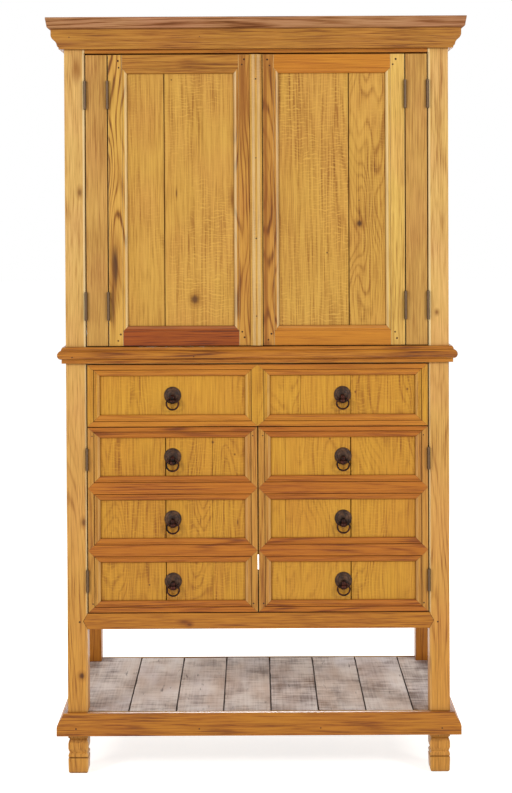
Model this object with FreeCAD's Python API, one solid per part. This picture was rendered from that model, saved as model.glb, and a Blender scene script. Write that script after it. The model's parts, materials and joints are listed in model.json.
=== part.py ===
import FreeCAD, Part
import math
import os

Vector = FreeCAD.Vector

# A tall rustic television cabinet of golden wood, in millimetres. The upper bay closes with two doors
# that are hinged twice, so that they fold back flat along the cabinet's sides. Below the waist there are
# one wide drawer and two doors faced as three drawers each, and then an open shelf of planks on carved
# feet. +X is to the viewer's right, +Y to the back and +Z up. The origin is on the floor, under the middle
# of the cabinet's whole outline.

# Overall sizes
TOTAL_HEIGHT = 2030.0
BODY_WIDTH = 1028.0
BODY_DEPTH = 565.0

# Heights of the stages from the floor up; the upper doors take what is left
FOOT_HEIGHT = 110.0
BASE_HEIGHT = 57.0
OPEN_HEIGHT = 223.0
BOTTOM_RAIL_HEIGHT = 43.0
LOWER_DOOR_HEIGHT = 498.0
DRAWER_HEIGHT = 166.0
WAIST_RAIL_HEIGHT = 46.0
TOP_RAIL_HEIGHT = 63.0
CAP_THICKNESS = 30.0

# Running gaps round the doors and the drawer
SILL_GAP = 2.5
HEAD_GAP = 4.0
HINGE_GAP = 3.0
LOWER_MEETING_GAP = 3.0
UPPER_MEETING_GAP = 2.0
STOP_GAP = 2.0

# Posts, whose lower ends are the carved feet
POST_WIDTH = 54.0
BACK_POST_WIDTH = 44.0
BACK_POST_DEPTH = 50.0
POST_CHAMFER = 3.0
FOOT_BLOCK = 41.0
FOOT_RING = 8.0
FOOT_NECK = 12.0
FOOT_GROOVE = 4.0
FOOT_GROOVE_DEPTH = 4.0
FOOT_TAPER = 1.0
FOOT_ROUND = 8.0

# Rails, tenons and grooved boards
RAIL_THICKNESS = 22.0
TENON_LENGTH = 24.0
TENON_THICKNESS = 10.0
TENON_SHOULDER = 8.0
RAIL_POINT = 12.0
RAIL_POINT_DEPTH = 10.0
STOP_DROP = 12.0
STOP_DEPTH = 16.0
GROOVE_DEPTH = 9.0
GROOVE_CLEARANCE = 0.3
PANEL_ROOM = 1.0
BOARD_GAP = 0.6
OPEN_JOINT = 2.6
LAP = 8.0
SIDE_BOARD = 10.0
SIDE_BOARD_COUNT = 3
BACK_BOARD = 10.0
BACK_BOARD_COUNT = 8
BACK_BOARD_SETBACK = 2.0
CABLE_SLOT_BOARDS = 2
LOWER_SLOT_START = 3
UPPER_SLOT_START = 1
CABLE_SLOT_HEIGHT = 43.0

# Inner shelves and what carries them
DECK_THICKNESS = 22.0
FLOOR_THICKNESS = 20.0
SHELF_THICKNESS = 18.0
SHELF_RISE = 265.0
SHELF_FRONT_ROOM = 85.0
SHELF_BACK_ROOM = 2.0
SHELF_END_ROOM = 2.0
CLEAT_WIDTH = 22.0
CLEAT_HEIGHT = 20.0

# Mouldings planted round the body, as distance out from the posts and height above the moulding's foot
CAP_OVERHANG = 46.0
CAP_TAPER = 4.0
CAP_ROUND = 8.0
CORNICE_HEIGHT = 52.0
CORNICE_OUT = 32.0
CORNICE_FOOT_OUT = 13.0
CORNICE_FOOT = 4.0
CORNICE_NECK_OUT = 17.0
CORNICE_NECK = 8.0
CORNICE_HOLLOW = (19.2, 16.3)
CORNICE_TURN = (24.5, 22.5)
CORNICE_SWELL = (30.0, 28.7)
CORNICE_SHOULDER = 37.0
WAIST_FILLET_OUT = 10.5
WAIST_FILLET = 11.0
WAIST_TORUS_OUT = 21.5
WAIST_TORUS_FOOT_OUT = 14.0
WAIST_TORUS = 23.0
WAIST_BEAD_OUT = 11.5
WAIST_BEAD_TURN = (10.7, 5.7)
WAIST_BEAD_TOP_OUT = 8.0
WAIST_BEAD = 9.5
BASE_OUT = 28.0
BASE_TOP_OUT = 12.0
BASE_PLINTH = 23.0
BASE_HOLLOW = (25.4, 31.5)
BASE_TURN = (20.5, 39.0)
BASE_SWELL = (15.5, 47.5)

# Open shelf of planks
PLANK_THICKNESS = 20.0
PLANK_LEDGE = 9.0
PLANK_PITCH = 128.0
PLANK_OFFSET = 32.0
PLANK_GAP = 3.0
PLANK_LEAST = 60.0
BEARER_WIDTH = 40.0
BEARER_HEIGHT = 22.0
BEARER_COUNT = 2

# Upper doors: a narrow hinged strip and a framed leaf on each side
LEAF_THICKNESS = 22.0
STRIP_WIDTH = 57.0
MEETING_OFFSET = 16.0
DOOR_STILE = 50.5
LEFT_MEETING_STILE = 75.5
RIGHT_MEETING_STILE = 42.5
DOOR_TOP_RAIL = 50.0
DOOR_BOTTOM_RAIL = 52.5
DOOR_PANEL = 8.0
DOOR_PANEL_RECESS = 10.0
DOOR_BOARD_JOINT = 247.5
STICKING_WIDTH = 13.0
STICKING_QUIRK = 2.4
STICKING_STEP = 1.8
STICKING_DEPTH = 7.5
STICKING_TURN = (4.2, 2.7)
ASTRAGAL_WIDTH = 32.0
ASTRAGAL_PROUD = 7.0
ASTRAGAL_FILLET = 5.0
ASTRAGAL_FILLET_PROUD = 3.0

# Lower fronts: upright boards with a mitred frame of mouldings planted on them
MOULDING_THICKNESS = 10.0
FRONT_STILE = 33.0
DRAWER_CENTRE_STILE = 66.0
DRAWER_RAIL = 30.0
LOWER_TOP_RAIL = 28.0
LOWER_MID_RAIL = 64.0
LOWER_BOTTOM_RAIL = 30.0
LOWER_PANEL_COUNT = 3
EDGE_BAND = 11.5
EDGE_BAND_STEP = 1.6
EDGE_LIP = 5.5
EDGE_TURN = (4.1, 2.6)
EDGE_FILLET = 3.5
EDGE_FILLET_STEP = 0.6
EDGE_QUIRK = 2.0
EDGE_QUIRK_STEP = 2.4
LOWER_LEFT_JOINTS = ((-248.0, OPEN_JOINT), (-122.0, BOARD_GAP))
LOWER_RIGHT_JOINTS = ((74.0, BOARD_GAP), (250.0, OPEN_JOINT))
DRAWER_JOINTS = ((2.0, BOARD_GAP), (115.0, BOARD_GAP), (250.0, BOARD_GAP))

# Drawer box, its runners and dovetails
RUNNER_HEIGHT = 24.0
RUNNER_OVERLAP = 20.0
RUNNER_GUIDE_HEIGHT = 20.0
DRAWER_LIP = 10.0
RUN_CLEARANCE = 0.3
GUIDE_CLEARANCE = 1.5
BOX_SIDE_ROOM = 5.0
BOX_TOP_ROOM = 6.0
BOX_BACK_ROOM = 60.0
BOX_WALL = 12.0
BOX_BOTTOM = 6.0
BOX_BOTTOM_RAISE = 8.0
BOX_BOTTOM_GROOVE = 5.0
BOX_BOTTOM_CLEARANCE = 0.2
TAIL_COUNT = 3
TAIL_SHARE = 0.6
TAIL_FLARE = 2.5

# Butt hinges
UPPER_HINGE_LENGTH = 76.0
UPPER_HINGE_INSET = 107.0
LOWER_HINGE_LENGTH = 60.0
LOWER_HINGE_INSET = 85.0
HINGE_PROUD = 5.0
KNUCKLE_RADIUS = 3.7
KNUCKLE_COUNT = 3
KNUCKLE_SIDES = 10
KNUCKLE_GAP = 0.3
PIN_RADIUS = 1.8
PIN_CLEARANCE = 0.08
HINGE_LEAF = 1.4
HINGE_LEAF_DEPTH = 20.0
HINGE_RELIEF = 0.4

# Ring pulls
PLATE_RADIUS = 23.0
PLATE_RIM = 1.2
PLATE_PROUD = 5.0
PLATE_SIDES = 14
PLATE_BEAD = (17.5, 3.4)
PLATE_VALLEY = (14.0, 2.4)
PLATE_BOSS_RADIUS = 6.5
EYE_DROP = 5.0
EYE_PROUD = 13.0
EYE_RADIUS = 8.0
EYE_HALF_WIDTH = 5.0
EYE_HOLE_RADIUS = 3.5
EYE_NECK_HALF = 5.0
EYE_SIDES = 10
RING_RADIUS = 16.25
RING_WIRE_RADIUS = 2.25
RING_WIRE_SIDES = 6
RING_STATIONS = 14

# Levels worked out from the heights
BASE_Z = FOOT_HEIGHT
PLANK_TOP = BASE_Z + BASE_HEIGHT
RAIL_Z = PLANK_TOP + OPEN_HEIGHT
FLOOR_Z = RAIL_Z + BOTTOM_RAIL_HEIGHT
SHELF_TOP = FLOOR_Z + SHELF_RISE
LOWER_DOOR_Z = FLOOR_Z + SILL_GAP
LOWER_DOOR_TOP = LOWER_DOOR_Z + LOWER_DOOR_HEIGHT
DRAWER_Z = LOWER_DOOR_TOP + SILL_GAP
DRAWER_TOP = DRAWER_Z + DRAWER_HEIGHT
RUNNER_TOP = DRAWER_Z + DRAWER_LIP
WAIST_Z = DRAWER_TOP + SILL_GAP
DECK_Z = WAIST_Z + WAIST_RAIL_HEIGHT
UPPER_DOOR_Z = DECK_Z + SILL_GAP
BODY_TOP = TOTAL_HEIGHT - CAP_THICKNESS
TOP_RAIL_Z = BODY_TOP - TOP_RAIL_HEIGHT
UPPER_DOOR_TOP = TOP_RAIL_Z - HEAD_GAP

# Places across and along, worked out from the widths and depths
HALF = BODY_WIDTH / 2
POST_IN = HALF - POST_WIDTH
BACK_POST_IN = HALF - BACK_POST_WIDTH
RAIL_IN = HALF - RAIL_THICKNESS
FRONT = -(BODY_DEPTH - CAP_OVERHANG) / 2
BACK = FRONT + BODY_DEPTH
FRONT_POST_BACK = FRONT + POST_WIDTH
BACK_POST_FRONT = BACK - BACK_POST_DEPTH
LEAF_BACK = FRONT + LEAF_THICKNESS
BOARDS_FRONT = FRONT + MOULDING_THICKNESS
BACK_BOARDS_FRONT = BACK - BACK_BOARD_SETBACK - BACK_BOARD
BACK_RAIL_FRONT = BACK_BOARDS_FRONT - RAIL_THICKNESS
FRONT_RAIL_BACK = FRONT + RAIL_THICKNESS
STRIP_OUT = POST_IN - HINGE_GAP
STRIP_IN = STRIP_OUT - STRIP_WIDTH
DOOR_OUT = STRIP_IN - HINGE_GAP
POST_AXIS = POST_IN - HINGE_GAP / 2
STRIP_AXIS = STRIP_IN - HINGE_GAP / 2
HINGE_Y = FRONT - HINGE_PROUD
OVERCUT = 1.0

NODES = {}


# Shape helpers

def node(name, *shapes):
    """Keep every solid of the shapes under one node's name."""
    NODES[name] = [solid for shape in shapes for solid in shape.Solids]


def block(x0, x1, y0, y1, z0, z1):
    """A plain board between two corners."""
    return Part.makeBox(x1 - x0, y1 - y0, z1 - z0, Vector(x0, y0, z0))


def extruded(outline, place, along):
    """Extrude a closed outline of (u, v) corners; a pair of points is an arc through one to the other."""
    start = place(*outline[0])
    here = start
    edges = []
    for item in outline[1:]:
        if isinstance(item[0], tuple):
            via, end = place(*item[0]), place(*item[1])
            edges.append(Part.Arc(here, via, end).toShape())
        else:
            end = place(*item)
            edges.append(Part.LineSegment(here, end).toShape())
        here = end
    edges.append(Part.LineSegment(here, start).toShape())
    return Part.Face(Part.Wire(edges)).extrude(along)


def plan_prism(outline, z0, z1):
    """Extrude an outline of (x, y) upwards."""
    return extruded(outline, lambda x, y: Vector(x, y, z0), Vector(0, 0, z1 - z0))


def front_prism(outline, y0, y1):
    """Extrude an outline of (x, z) backwards."""
    return extruded(outline, lambda x, z: Vector(x, y0, z), Vector(0, y1 - y0, 0))


def side_prism(outline, x0, x1):
    """Extrude an outline of (y, z) across."""
    return extruded(outline, lambda y, z: Vector(x0, y, z), Vector(x1 - x0, 0, 0))


def mirrored(shape):
    """The same piece on the other side of the cabinet."""
    return shape.mirror(Vector(0, 0, 0), Vector(1, 0, 0))


def fused(first, *others):
    """One solid from pieces that overlap or touch."""
    return first.multiFuse(others).removeSplitter()


def rail_across(half, y0, y1, z0, z1):
    """A rail along X with a tenon at each end."""
    middle = (y0 + y1) / 2
    tenon_half = half + TENON_LENGTH
    tenon_y = (middle - TENON_THICKNESS / 2, middle + TENON_THICKNESS / 2)
    tenon = block(-tenon_half, tenon_half, *tenon_y, z0 + TENON_SHOULDER, z1 - TENON_SHOULDER)
    return fused(block(-half, half, y0, y1, z0, z1), tenon)


def side_rail(z0, z1):
    """A left side rail along Y, tenoned into the front and back posts."""
    middle = -HALF + RAIL_THICKNESS / 2
    tenon_x = (middle - TENON_THICKNESS / 2, middle + TENON_THICKNESS / 2)
    tenon_y = (FRONT_POST_BACK - TENON_LENGTH, BACK_POST_FRONT + TENON_LENGTH)
    tenon = block(*tenon_x, *tenon_y, z0 + TENON_SHOULDER, z1 - TENON_SHOULDER)
    return fused(block(-HALF, -RAIL_IN, FRONT_POST_BACK, BACK_POST_FRONT, z0, z1), tenon)


def lapped(ends, joints, shown, hidden):
    """Outlines of boards half-lapped side by side, with their outer edges at the ends.

    A joint is its place and the gap that shows on the front of the boards; the lap closes it behind.
    """
    middle = (shown + hidden) / 2
    outlines = []
    start = [(ends[0], hidden), (ends[0], shown)]
    for place, gap in joints:
        near, far, tongue = place - gap / 2, place + gap / 2, place + LAP
        outlines.append([*start, (near, shown), (near, middle), (tongue, middle), (tongue, hidden)])
        behind = tongue + BOARD_GAP
        start = [(behind, hidden), (behind, middle), (far, middle), (far, shown)]
    outlines.append([*start, (ends[1], shown), (ends[1], hidden)])
    return outlines


def boards_between(x0, x1, joints, y0, y1, z0, z1):
    """Upright boards half-lapped side by side."""
    return [plan_prism(outline, z0, z1) for outline in lapped((x0, x1), joints, y0, y1)]


# Carcase posts

def post_outline(centre, half):
    """One face of a post: the carved foot below, straight above."""
    block_half = half - FOOT_TAPER
    corner = FOOT_ROUND * (1 - math.sqrt(0.5))
    ring_foot = FOOT_BLOCK + FOOT_GROOVE
    ring_top = ring_foot + FOOT_RING
    bulge_foot = ring_top + FOOT_GROOVE
    neck_foot = FOOT_HEIGHT - FOOT_NECK
    bulge_top = neck_foot - FOOT_GROOVE
    waist = half - FOOT_GROOVE_DEPTH
    right = [
        (block_half - FOOT_ROUND, 0),
        ((block_half - corner, corner), (block_half, FOOT_ROUND)),
        (half, FOOT_BLOCK),
        (waist, FOOT_BLOCK + FOOT_GROOVE / 2),
        (half - FOOT_TAPER, ring_foot),
        (half, (ring_foot + ring_top) / 2),
        (half - FOOT_TAPER, ring_top),
        (waist, bulge_foot),
        ((half, (bulge_foot + 2 * bulge_top) / 3), (waist, bulge_top)),
        (half, neck_foot),
        (half, BODY_TOP),
    ]
    left = [
        (-half, BODY_TOP),
        (-half, neck_foot),
        (-waist, bulge_top),
        ((-half, (bulge_foot + 2 * bulge_top) / 3), (-waist, bulge_foot)),
        (-(half - FOOT_TAPER), ring_top),
        (-half, (ring_foot + ring_top) / 2),
        (-(half - FOOT_TAPER), ring_foot),
        (-waist, FOOT_BLOCK + FOOT_GROOVE / 2),
        (-half, FOOT_BLOCK),
        (-block_half, FOOT_ROUND),
        ((-(block_half - corner), corner), (-(block_half - FOOT_ROUND), 0)),
    ]

    def shifted(point):
        return (point[0] + centre, point[1])

    return [
        tuple(shifted(p) for p in item) if isinstance(item[0], tuple) else shifted(item)
        for item in right + left
    ]


def left_post(width, y0, y1):
    """A left post with its foot carved on all four faces."""
    across = post_outline(-HALF + width / 2, width / 2)
    along = post_outline((y0 + y1) / 2, (y1 - y0) / 2)
    return front_prism(across, y0, y1).common(side_prism(along, -HALF, -HALF + width))


def post_chamfers():
    """The eased inner arris of the left front post, beside the lower fronts and beside the upper doors."""
    corner = [
        (-POST_IN - POST_CHAMFER, FRONT),
        (-POST_IN, FRONT),
        (-POST_IN, FRONT + POST_CHAMFER),
    ]
    return [plan_prism(corner, FLOOR_Z, WAIST_Z), plan_prism(corner, DECK_Z, TOP_RAIL_Z)]


# Carcase rails and boards

def front_top_rail():
    """The rail over the upper doors, rebated so that its back edge stops them."""
    stop_y = LEAF_BACK + STOP_GAP
    body = [
        (FRONT, TOP_RAIL_Z),
        (stop_y, TOP_RAIL_Z),
        (stop_y, TOP_RAIL_Z - STOP_DROP),
        (stop_y + STOP_DEPTH, TOP_RAIL_Z - STOP_DROP),
        (stop_y + STOP_DEPTH, BODY_TOP),
        (FRONT, BODY_TOP),
    ]
    tenoned = rail_across(POST_IN, FRONT, FRONT_RAIL_BACK, TOP_RAIL_Z, BODY_TOP)
    return fused(side_prism(body, -POST_IN, POST_IN), tenoned)


def front_bottom_rail():
    """The rail under the lower doors, whose face ends in points let into the posts."""
    middle = (RAIL_Z + FLOOR_Z) / 2
    pointed = [
        (-POST_IN, RAIL_Z),
        (POST_IN, RAIL_Z),
        (POST_IN + RAIL_POINT, middle),
        (POST_IN, FLOOR_Z),
        (-POST_IN, FLOOR_Z),
        (-POST_IN - RAIL_POINT, middle),
    ]
    face = front_prism(pointed, FRONT, FRONT + RAIL_POINT_DEPTH)
    return fused(rail_across(POST_IN, FRONT, FRONT_RAIL_BACK, RAIL_Z, FLOOR_Z), face)


def divider_rail():
    """The rail behind the gap between drawer and lower doors, which stops both."""
    y0 = LEAF_BACK + STOP_GAP
    return rail_across(POST_IN, y0, FRONT_POST_BACK, RUNNER_TOP - RUNNER_HEIGHT, RUNNER_TOP)


def side_panel_box(z0, z1, edge, slack):
    """The space of a left side panel, let into its frame by edge and thicker by slack on each face."""
    middle = -HALF + RAIL_THICKNESS / 2
    half = SIDE_BOARD / 2 + slack
    y0, y1 = FRONT_POST_BACK - edge, BACK_POST_FRONT + edge
    return (middle - half, middle + half, y0, y1, z0 - edge, z1 + edge)


def side_boards(z0, z1):
    """Upright boards of one left side panel."""
    x0, x1, y0, y1, low, high = side_panel_box(z0, z1, GROOVE_DEPTH - PANEL_ROOM, 0)
    pitch = (y1 - y0) / SIDE_BOARD_COUNT
    return [
        block(x0, x1, y0 + i * pitch, y0 + (i + 1) * pitch - BOARD_GAP, low, high)
        for i in range(SIDE_BOARD_COUNT)
    ]


def back_boards(z0, z1, slot_foot, slot_start):
    """Upright back boards; those from slot_start stop short and leave a cable slot above slot_foot."""
    pitch = 2 * BACK_POST_IN / BACK_BOARD_COUNT
    boards = []
    for i in range(BACK_BOARD_COUNT):
        x0 = -BACK_POST_IN + i * pitch
        short = slot_start <= i < slot_start + CABLE_SLOT_BOARDS
        foot = slot_foot + CABLE_SLOT_HEIGHT if short else z0
        y0 = BACK_BOARDS_FRONT
        boards.append(block(x0, x0 + pitch - BOARD_GAP, y0, y0 + BACK_BOARD, foot, z1))
    return boards


# Base and mouldings

def base_rails():
    """Four rails between the posts, rebated along the top for the planks."""
    rebate_z = PLANK_TOP - PLANK_THICKNESS
    planks = block(
        -HALF + PLANK_LEDGE, HALF - PLANK_LEDGE,
        FRONT + PLANK_LEDGE, BACK - PLANK_LEDGE,
        rebate_z, PLANK_TOP + OVERCUT,
    )
    left = side_rail(BASE_Z, PLANK_TOP)
    front = rail_across(POST_IN, FRONT, FRONT_RAIL_BACK, BASE_Z, PLANK_TOP)
    back = rail_across(BACK_POST_IN, BACK - RAIL_THICKNESS, BACK, BASE_Z, PLANK_TOP)
    return [rail.cut(planks) for rail in (front, back, left, mirrored(left))]


def base_planks(posts):
    """Rough lapped planks from front to back, the outer ones notched round the posts."""
    edge = HALF - PLANK_LEDGE
    count = int(edge // PLANK_PITCH) + 1
    places = [PLANK_OFFSET + k * PLANK_PITCH for k in range(-count, count + 1)]
    joints = [(x, PLANK_GAP) for x in places if abs(x) < edge - PLANK_LEAST]
    outlines = lapped((-edge, edge), joints, PLANK_TOP, PLANK_TOP - PLANK_THICKNESS)
    planks = [front_prism(outline, FRONT + PLANK_LEDGE, BACK - PLANK_LEDGE) for outline in outlines]
    return [plank.cut(posts) for plank in planks]


def plank_bearers():
    """Bearers under the planks, from side rail to side rail."""
    top = PLANK_TOP - PLANK_THICKNESS
    pitch = BODY_DEPTH / (BEARER_COUNT + 1)
    centres = [FRONT + pitch * (i + 1) for i in range(BEARER_COUNT)]
    return [
        block(-RAIL_IN, RAIL_IN, y - BEARER_WIDTH / 2, y + BEARER_WIDTH / 2, top - BEARER_HEIGHT, top)
        for y in centres
    ]


def planted_moulding(profile, foot_z, top, out):
    """Front, left and right lengths of a moulding on the posts, mitred at the front corners."""
    reach = out + OVERCUT
    front = extruded(
        profile,
        lambda u, v: Vector(-HALF - reach, FRONT - u, foot_z + v),
        Vector(2 * (HALF + reach), 0, 0),
    )
    front_plan = [
        (-HALF - reach, FRONT - reach),
        (HALF + reach, FRONT - reach),
        (HALF, FRONT),
        (-HALF, FRONT),
    ]
    left = extruded(
        profile,
        lambda u, v: Vector(-HALF - u, FRONT - reach, foot_z + v),
        Vector(0, BACK - FRONT + reach, 0),
    )
    left_plan = [
        (-HALF, FRONT),
        (-HALF - reach, FRONT - reach),
        (-HALF - reach, BACK),
        (-HALF, BACK),
    ]
    left = left.common(plan_prism(left_plan, foot_z, top))
    return [front.common(plan_prism(front_plan, foot_z, top)), left, mirrored(left)]


def cornice_moulding():
    """An ogee under the cap: a small stepped foot, a hollow, a swell and a straight fillet."""
    profile = [
        (0, 0),
        (CORNICE_FOOT_OUT, 0),
        (CORNICE_FOOT_OUT, CORNICE_FOOT),
        (CORNICE_NECK_OUT, CORNICE_NECK),
        (CORNICE_HOLLOW, CORNICE_TURN),
        (CORNICE_SWELL, (CORNICE_OUT, CORNICE_SHOULDER)),
        (CORNICE_OUT, CORNICE_HEIGHT),
        (0, CORNICE_HEIGHT),
    ]
    return planted_moulding(profile, BODY_TOP - CORNICE_HEIGHT, BODY_TOP, CORNICE_OUT)


def waist_moulding():
    """A torus between a lower fillet and an upper bead."""
    torus_top = WAIST_FILLET + WAIST_TORUS
    top = torus_top + WAIST_BEAD
    bead_out, bead_rise = WAIST_BEAD_TURN
    profile = [
        (0, 0),
        (WAIST_FILLET_OUT, 0),
        (WAIST_FILLET_OUT, WAIST_FILLET),
        (WAIST_TORUS_FOOT_OUT, WAIST_FILLET),
        ((WAIST_TORUS_OUT, WAIST_FILLET + WAIST_TORUS / 2), (WAIST_TORUS_FOOT_OUT, torus_top)),
        (WAIST_BEAD_OUT, torus_top),
        ((bead_out, torus_top + bead_rise), (WAIST_BEAD_TOP_OUT, top)),
        (0, top),
    ]
    return planted_moulding(profile, DECK_Z - top, DECK_Z, WAIST_TORUS_OUT)


def base_moulding():
    """A plinth with a gentle ogee slope up to its narrow top."""
    profile = [
        (0, 0),
        (BASE_OUT, 0),
        (BASE_OUT, BASE_PLINTH),
        (BASE_HOLLOW, BASE_TURN),
        (BASE_SWELL, (BASE_TOP_OUT, BASE_HEIGHT)),
        (0, BASE_HEIGHT),
    ]
    return planted_moulding(profile, BASE_Z, PLANK_TOP, BASE_OUT)


def cornice_cap():
    """The top slab: edges lean in slightly and are rounded underneath, at the front and both sides."""
    low = CAP_OVERHANG - CAP_TAPER
    corner = CAP_ROUND * (1 - math.sqrt(0.5))
    edge = [
        (low - CAP_ROUND, BODY_TOP),
        ((low - corner, BODY_TOP + corner), (low, BODY_TOP + CAP_ROUND)),
        (CAP_OVERHANG, TOTAL_HEIGHT),
    ]

    def placed(sign, base):
        return [
            tuple((base + sign * u, z) for u, z in item) if isinstance(item[0], tuple)
            else (base + sign * item[0], item[1])
            for item in edge
        ]

    across = HALF + CAP_OVERHANG
    along_x = side_prism([(BACK, BODY_TOP), *placed(-1, FRONT), (BACK, TOTAL_HEIGHT)], -across, across)
    right = placed(1, HALF)
    mirror_left = [
        (-across, TOTAL_HEIGHT),
        (-HALF - low, BODY_TOP + CAP_ROUND),
        ((-HALF - low + corner, BODY_TOP + corner), (-HALF - low + CAP_ROUND, BODY_TOP)),
    ]
    along_y = front_prism([*right, *mirror_left], FRONT - CAP_OVERHANG, BACK)
    return along_x.common(along_y)


# Upper doors

def sticking_cuts(x0, x1, z0, z1):
    """What is planed off round a door's panel opening: a quirk and an ovolo, mitred at the corners."""
    far = STICKING_WIDTH
    turn_in, turn_depth = STICKING_TURN
    profile = [
        (-OVERCUT, FRONT - OVERCUT),
        (far, FRONT - OVERCUT),
        (far, FRONT + STICKING_STEP),
        (far - STICKING_QUIRK, FRONT + STICKING_STEP),
        ((turn_in, FRONT + turn_depth), (0, FRONT + STICKING_DEPTH)),
        (-OVERCUT, FRONT + STICKING_DEPTH),
    ]
    reach = far + OVERCUT
    length_x, length_z = x1 - x0 + 2 * reach, z1 - z0 + 2 * reach
    low, left = z0 - reach, x0 - reach

    def corners(out):
        return [(x0 - out, z0 - out), (x1 + out, z0 - out), (x1 + out, z1 + out), (x0 - out, z1 + out)]

    inner, outer = corners(-OVERCUT), corners(reach)
    sides = [
        (lambda s, y: Vector(left, y, z0 - s), Vector(length_x, 0, 0)),
        (lambda s, y: Vector(x1 + s, y, low), Vector(0, 0, length_z)),
        (lambda s, y: Vector(left, y, z1 + s), Vector(length_x, 0, 0)),
        (lambda s, y: Vector(x0 - s, y, low), Vector(0, 0, length_z)),
    ]
    cuts = []
    for i, (place, along) in enumerate(sides):
        after = (i + 1) % len(sides)
        mitre = [inner[i], inner[after], outer[after], outer[i]]
        bar = extruded(profile, place, along)
        cuts.append(bar.common(front_prism(mitre, FRONT - 2 * OVERCUT, LEAF_BACK)))
    return cuts


def door_rail(x0, x1, edge_z, open_z):
    """An upper door's rail: mitred at its moulded edge, square behind it, with a tenon at each end."""
    inward = math.copysign(STICKING_WIDTH, open_z - edge_z)
    shoulder_z = open_z - inward
    face = [
        (x0 - STICKING_WIDTH, edge_z),
        (x1 + STICKING_WIDTH, edge_z),
        (x1 + STICKING_WIDTH, shoulder_z),
        (x1, open_z),
        (x0, open_z),
        (x0 - STICKING_WIDTH, shoulder_z),
    ]
    reach = STICKING_WIDTH + TENON_LENGTH
    panel_y = FRONT + DOOR_PANEL_RECESS
    low, high = sorted((edge_z, shoulder_z))
    tenon = block(
        x0 - reach, x1 + reach, panel_y, panel_y + DOOR_PANEL,
        low + TENON_SHOULDER, high - TENON_SHOULDER,
    )
    return fused(front_prism(face, FRONT, LEAF_BACK), tenon)


def upper_door(x0, x1, left_stile, right_stile, joint):
    """Stiles and rails of one upper door, and the boards of its panel."""
    open_x0, open_x1 = x0 + left_stile, x1 - right_stile
    open_z0, open_z1 = UPPER_DOOR_Z + DOOR_BOTTOM_RAIL, UPPER_DOOR_TOP - DOOR_TOP_RAIL
    rails = [
        door_rail(open_x0, open_x1, UPPER_DOOR_Z, open_z0),
        door_rail(open_x0, open_x1, UPPER_DOOR_TOP, open_z1),
    ]
    stiles = [
        block(x0, open_x0, FRONT, LEAF_BACK, UPPER_DOOR_Z, UPPER_DOOR_TOP),
        block(open_x1, x1, FRONT, LEAF_BACK, UPPER_DOOR_Z, UPPER_DOOR_TOP),
    ]
    panel_y = FRONT + DOOR_PANEL_RECESS
    groove = block(
        open_x0 - GROOVE_DEPTH, open_x1 + GROOVE_DEPTH,
        panel_y - GROOVE_CLEARANCE, panel_y + DOOR_PANEL + GROOVE_CLEARANCE,
        open_z0 - GROOVE_DEPTH, open_z1 + GROOVE_DEPTH,
    )
    cuts = [groove, *sticking_cuts(open_x0, open_x1, open_z0, open_z1)]
    frame = [stile.cut([*rails, *cuts]) for stile in stiles] + [rail.cut(cuts) for rail in rails]
    edge = GROOVE_DEPTH - PANEL_ROOM
    panel = boards_between(
        open_x0 - edge, open_x1 + edge, [(joint, OPEN_JOINT)],
        panel_y, panel_y + DOOR_PANEL, open_z0 - edge, open_z1 + edge,
    )
    return frame, panel


def astragal(x1):
    """The beaded strip on the left door that covers the meeting of the two doors."""
    x0 = x1 - ASTRAGAL_WIDTH
    fillet_y = FRONT - ASTRAGAL_FILLET_PROUD
    outline = [
        (x0, FRONT),
        (x0, fillet_y),
        (x0 + ASTRAGAL_FILLET, fillet_y),
        ((x0 + ASTRAGAL_WIDTH / 2, FRONT - ASTRAGAL_PROUD), (x1 - ASTRAGAL_FILLET, fillet_y)),
        (x1, fillet_y),
        (x1, FRONT),
    ]
    return plan_prism(outline, UPPER_DOOR_Z, UPPER_DOOR_TOP)


# Lower fronts

def moulded_bar(a, b, moulded_a, moulded_b):
    """Section of a planted moulding from a to b, with the shaped edge on the sides that face a panel."""
    turn_in, turn_depth = EDGE_TURN
    shaped = [
        (0, BOARDS_FRONT),
        (0, FRONT + EDGE_LIP),
        ((turn_in, FRONT + turn_depth), (EDGE_BAND, FRONT + EDGE_BAND_STEP)),
        (EDGE_BAND, FRONT + EDGE_FILLET_STEP),
        (EDGE_BAND + EDGE_FILLET, FRONT + EDGE_FILLET_STEP),
        (EDGE_BAND + EDGE_FILLET, FRONT + EDGE_QUIRK_STEP),
        (EDGE_BAND + EDGE_FILLET + EDGE_QUIRK, FRONT + EDGE_QUIRK_STEP),
        (EDGE_BAND + EDGE_FILLET + EDGE_QUIRK, FRONT),
    ]
    plain = [(0, BOARDS_FRONT), (0, FRONT)]

    def forward(points):
        return [
            tuple((a + t, y) for t, y in item) if isinstance(item[0], tuple) else (a + item[0], item[1])
            for item in points
        ]

    def backward(points):
        corners = [item[-1] if isinstance(item[0], tuple) else item for item in points]
        vias = [item[0] if isinstance(item[0], tuple) else None for item in points]
        walk = [(b - corners[-1][0], corners[-1][1])]
        for i in range(len(points) - 1, 0, -1):
            end = (b - corners[i - 1][0], corners[i - 1][1])
            walk.append(((b - vias[i][0], vias[i][1]), end) if vias[i] else end)
        return walk

    return forward(shaped if moulded_a else plain) + backward(shaped if moulded_b else plain)


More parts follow.
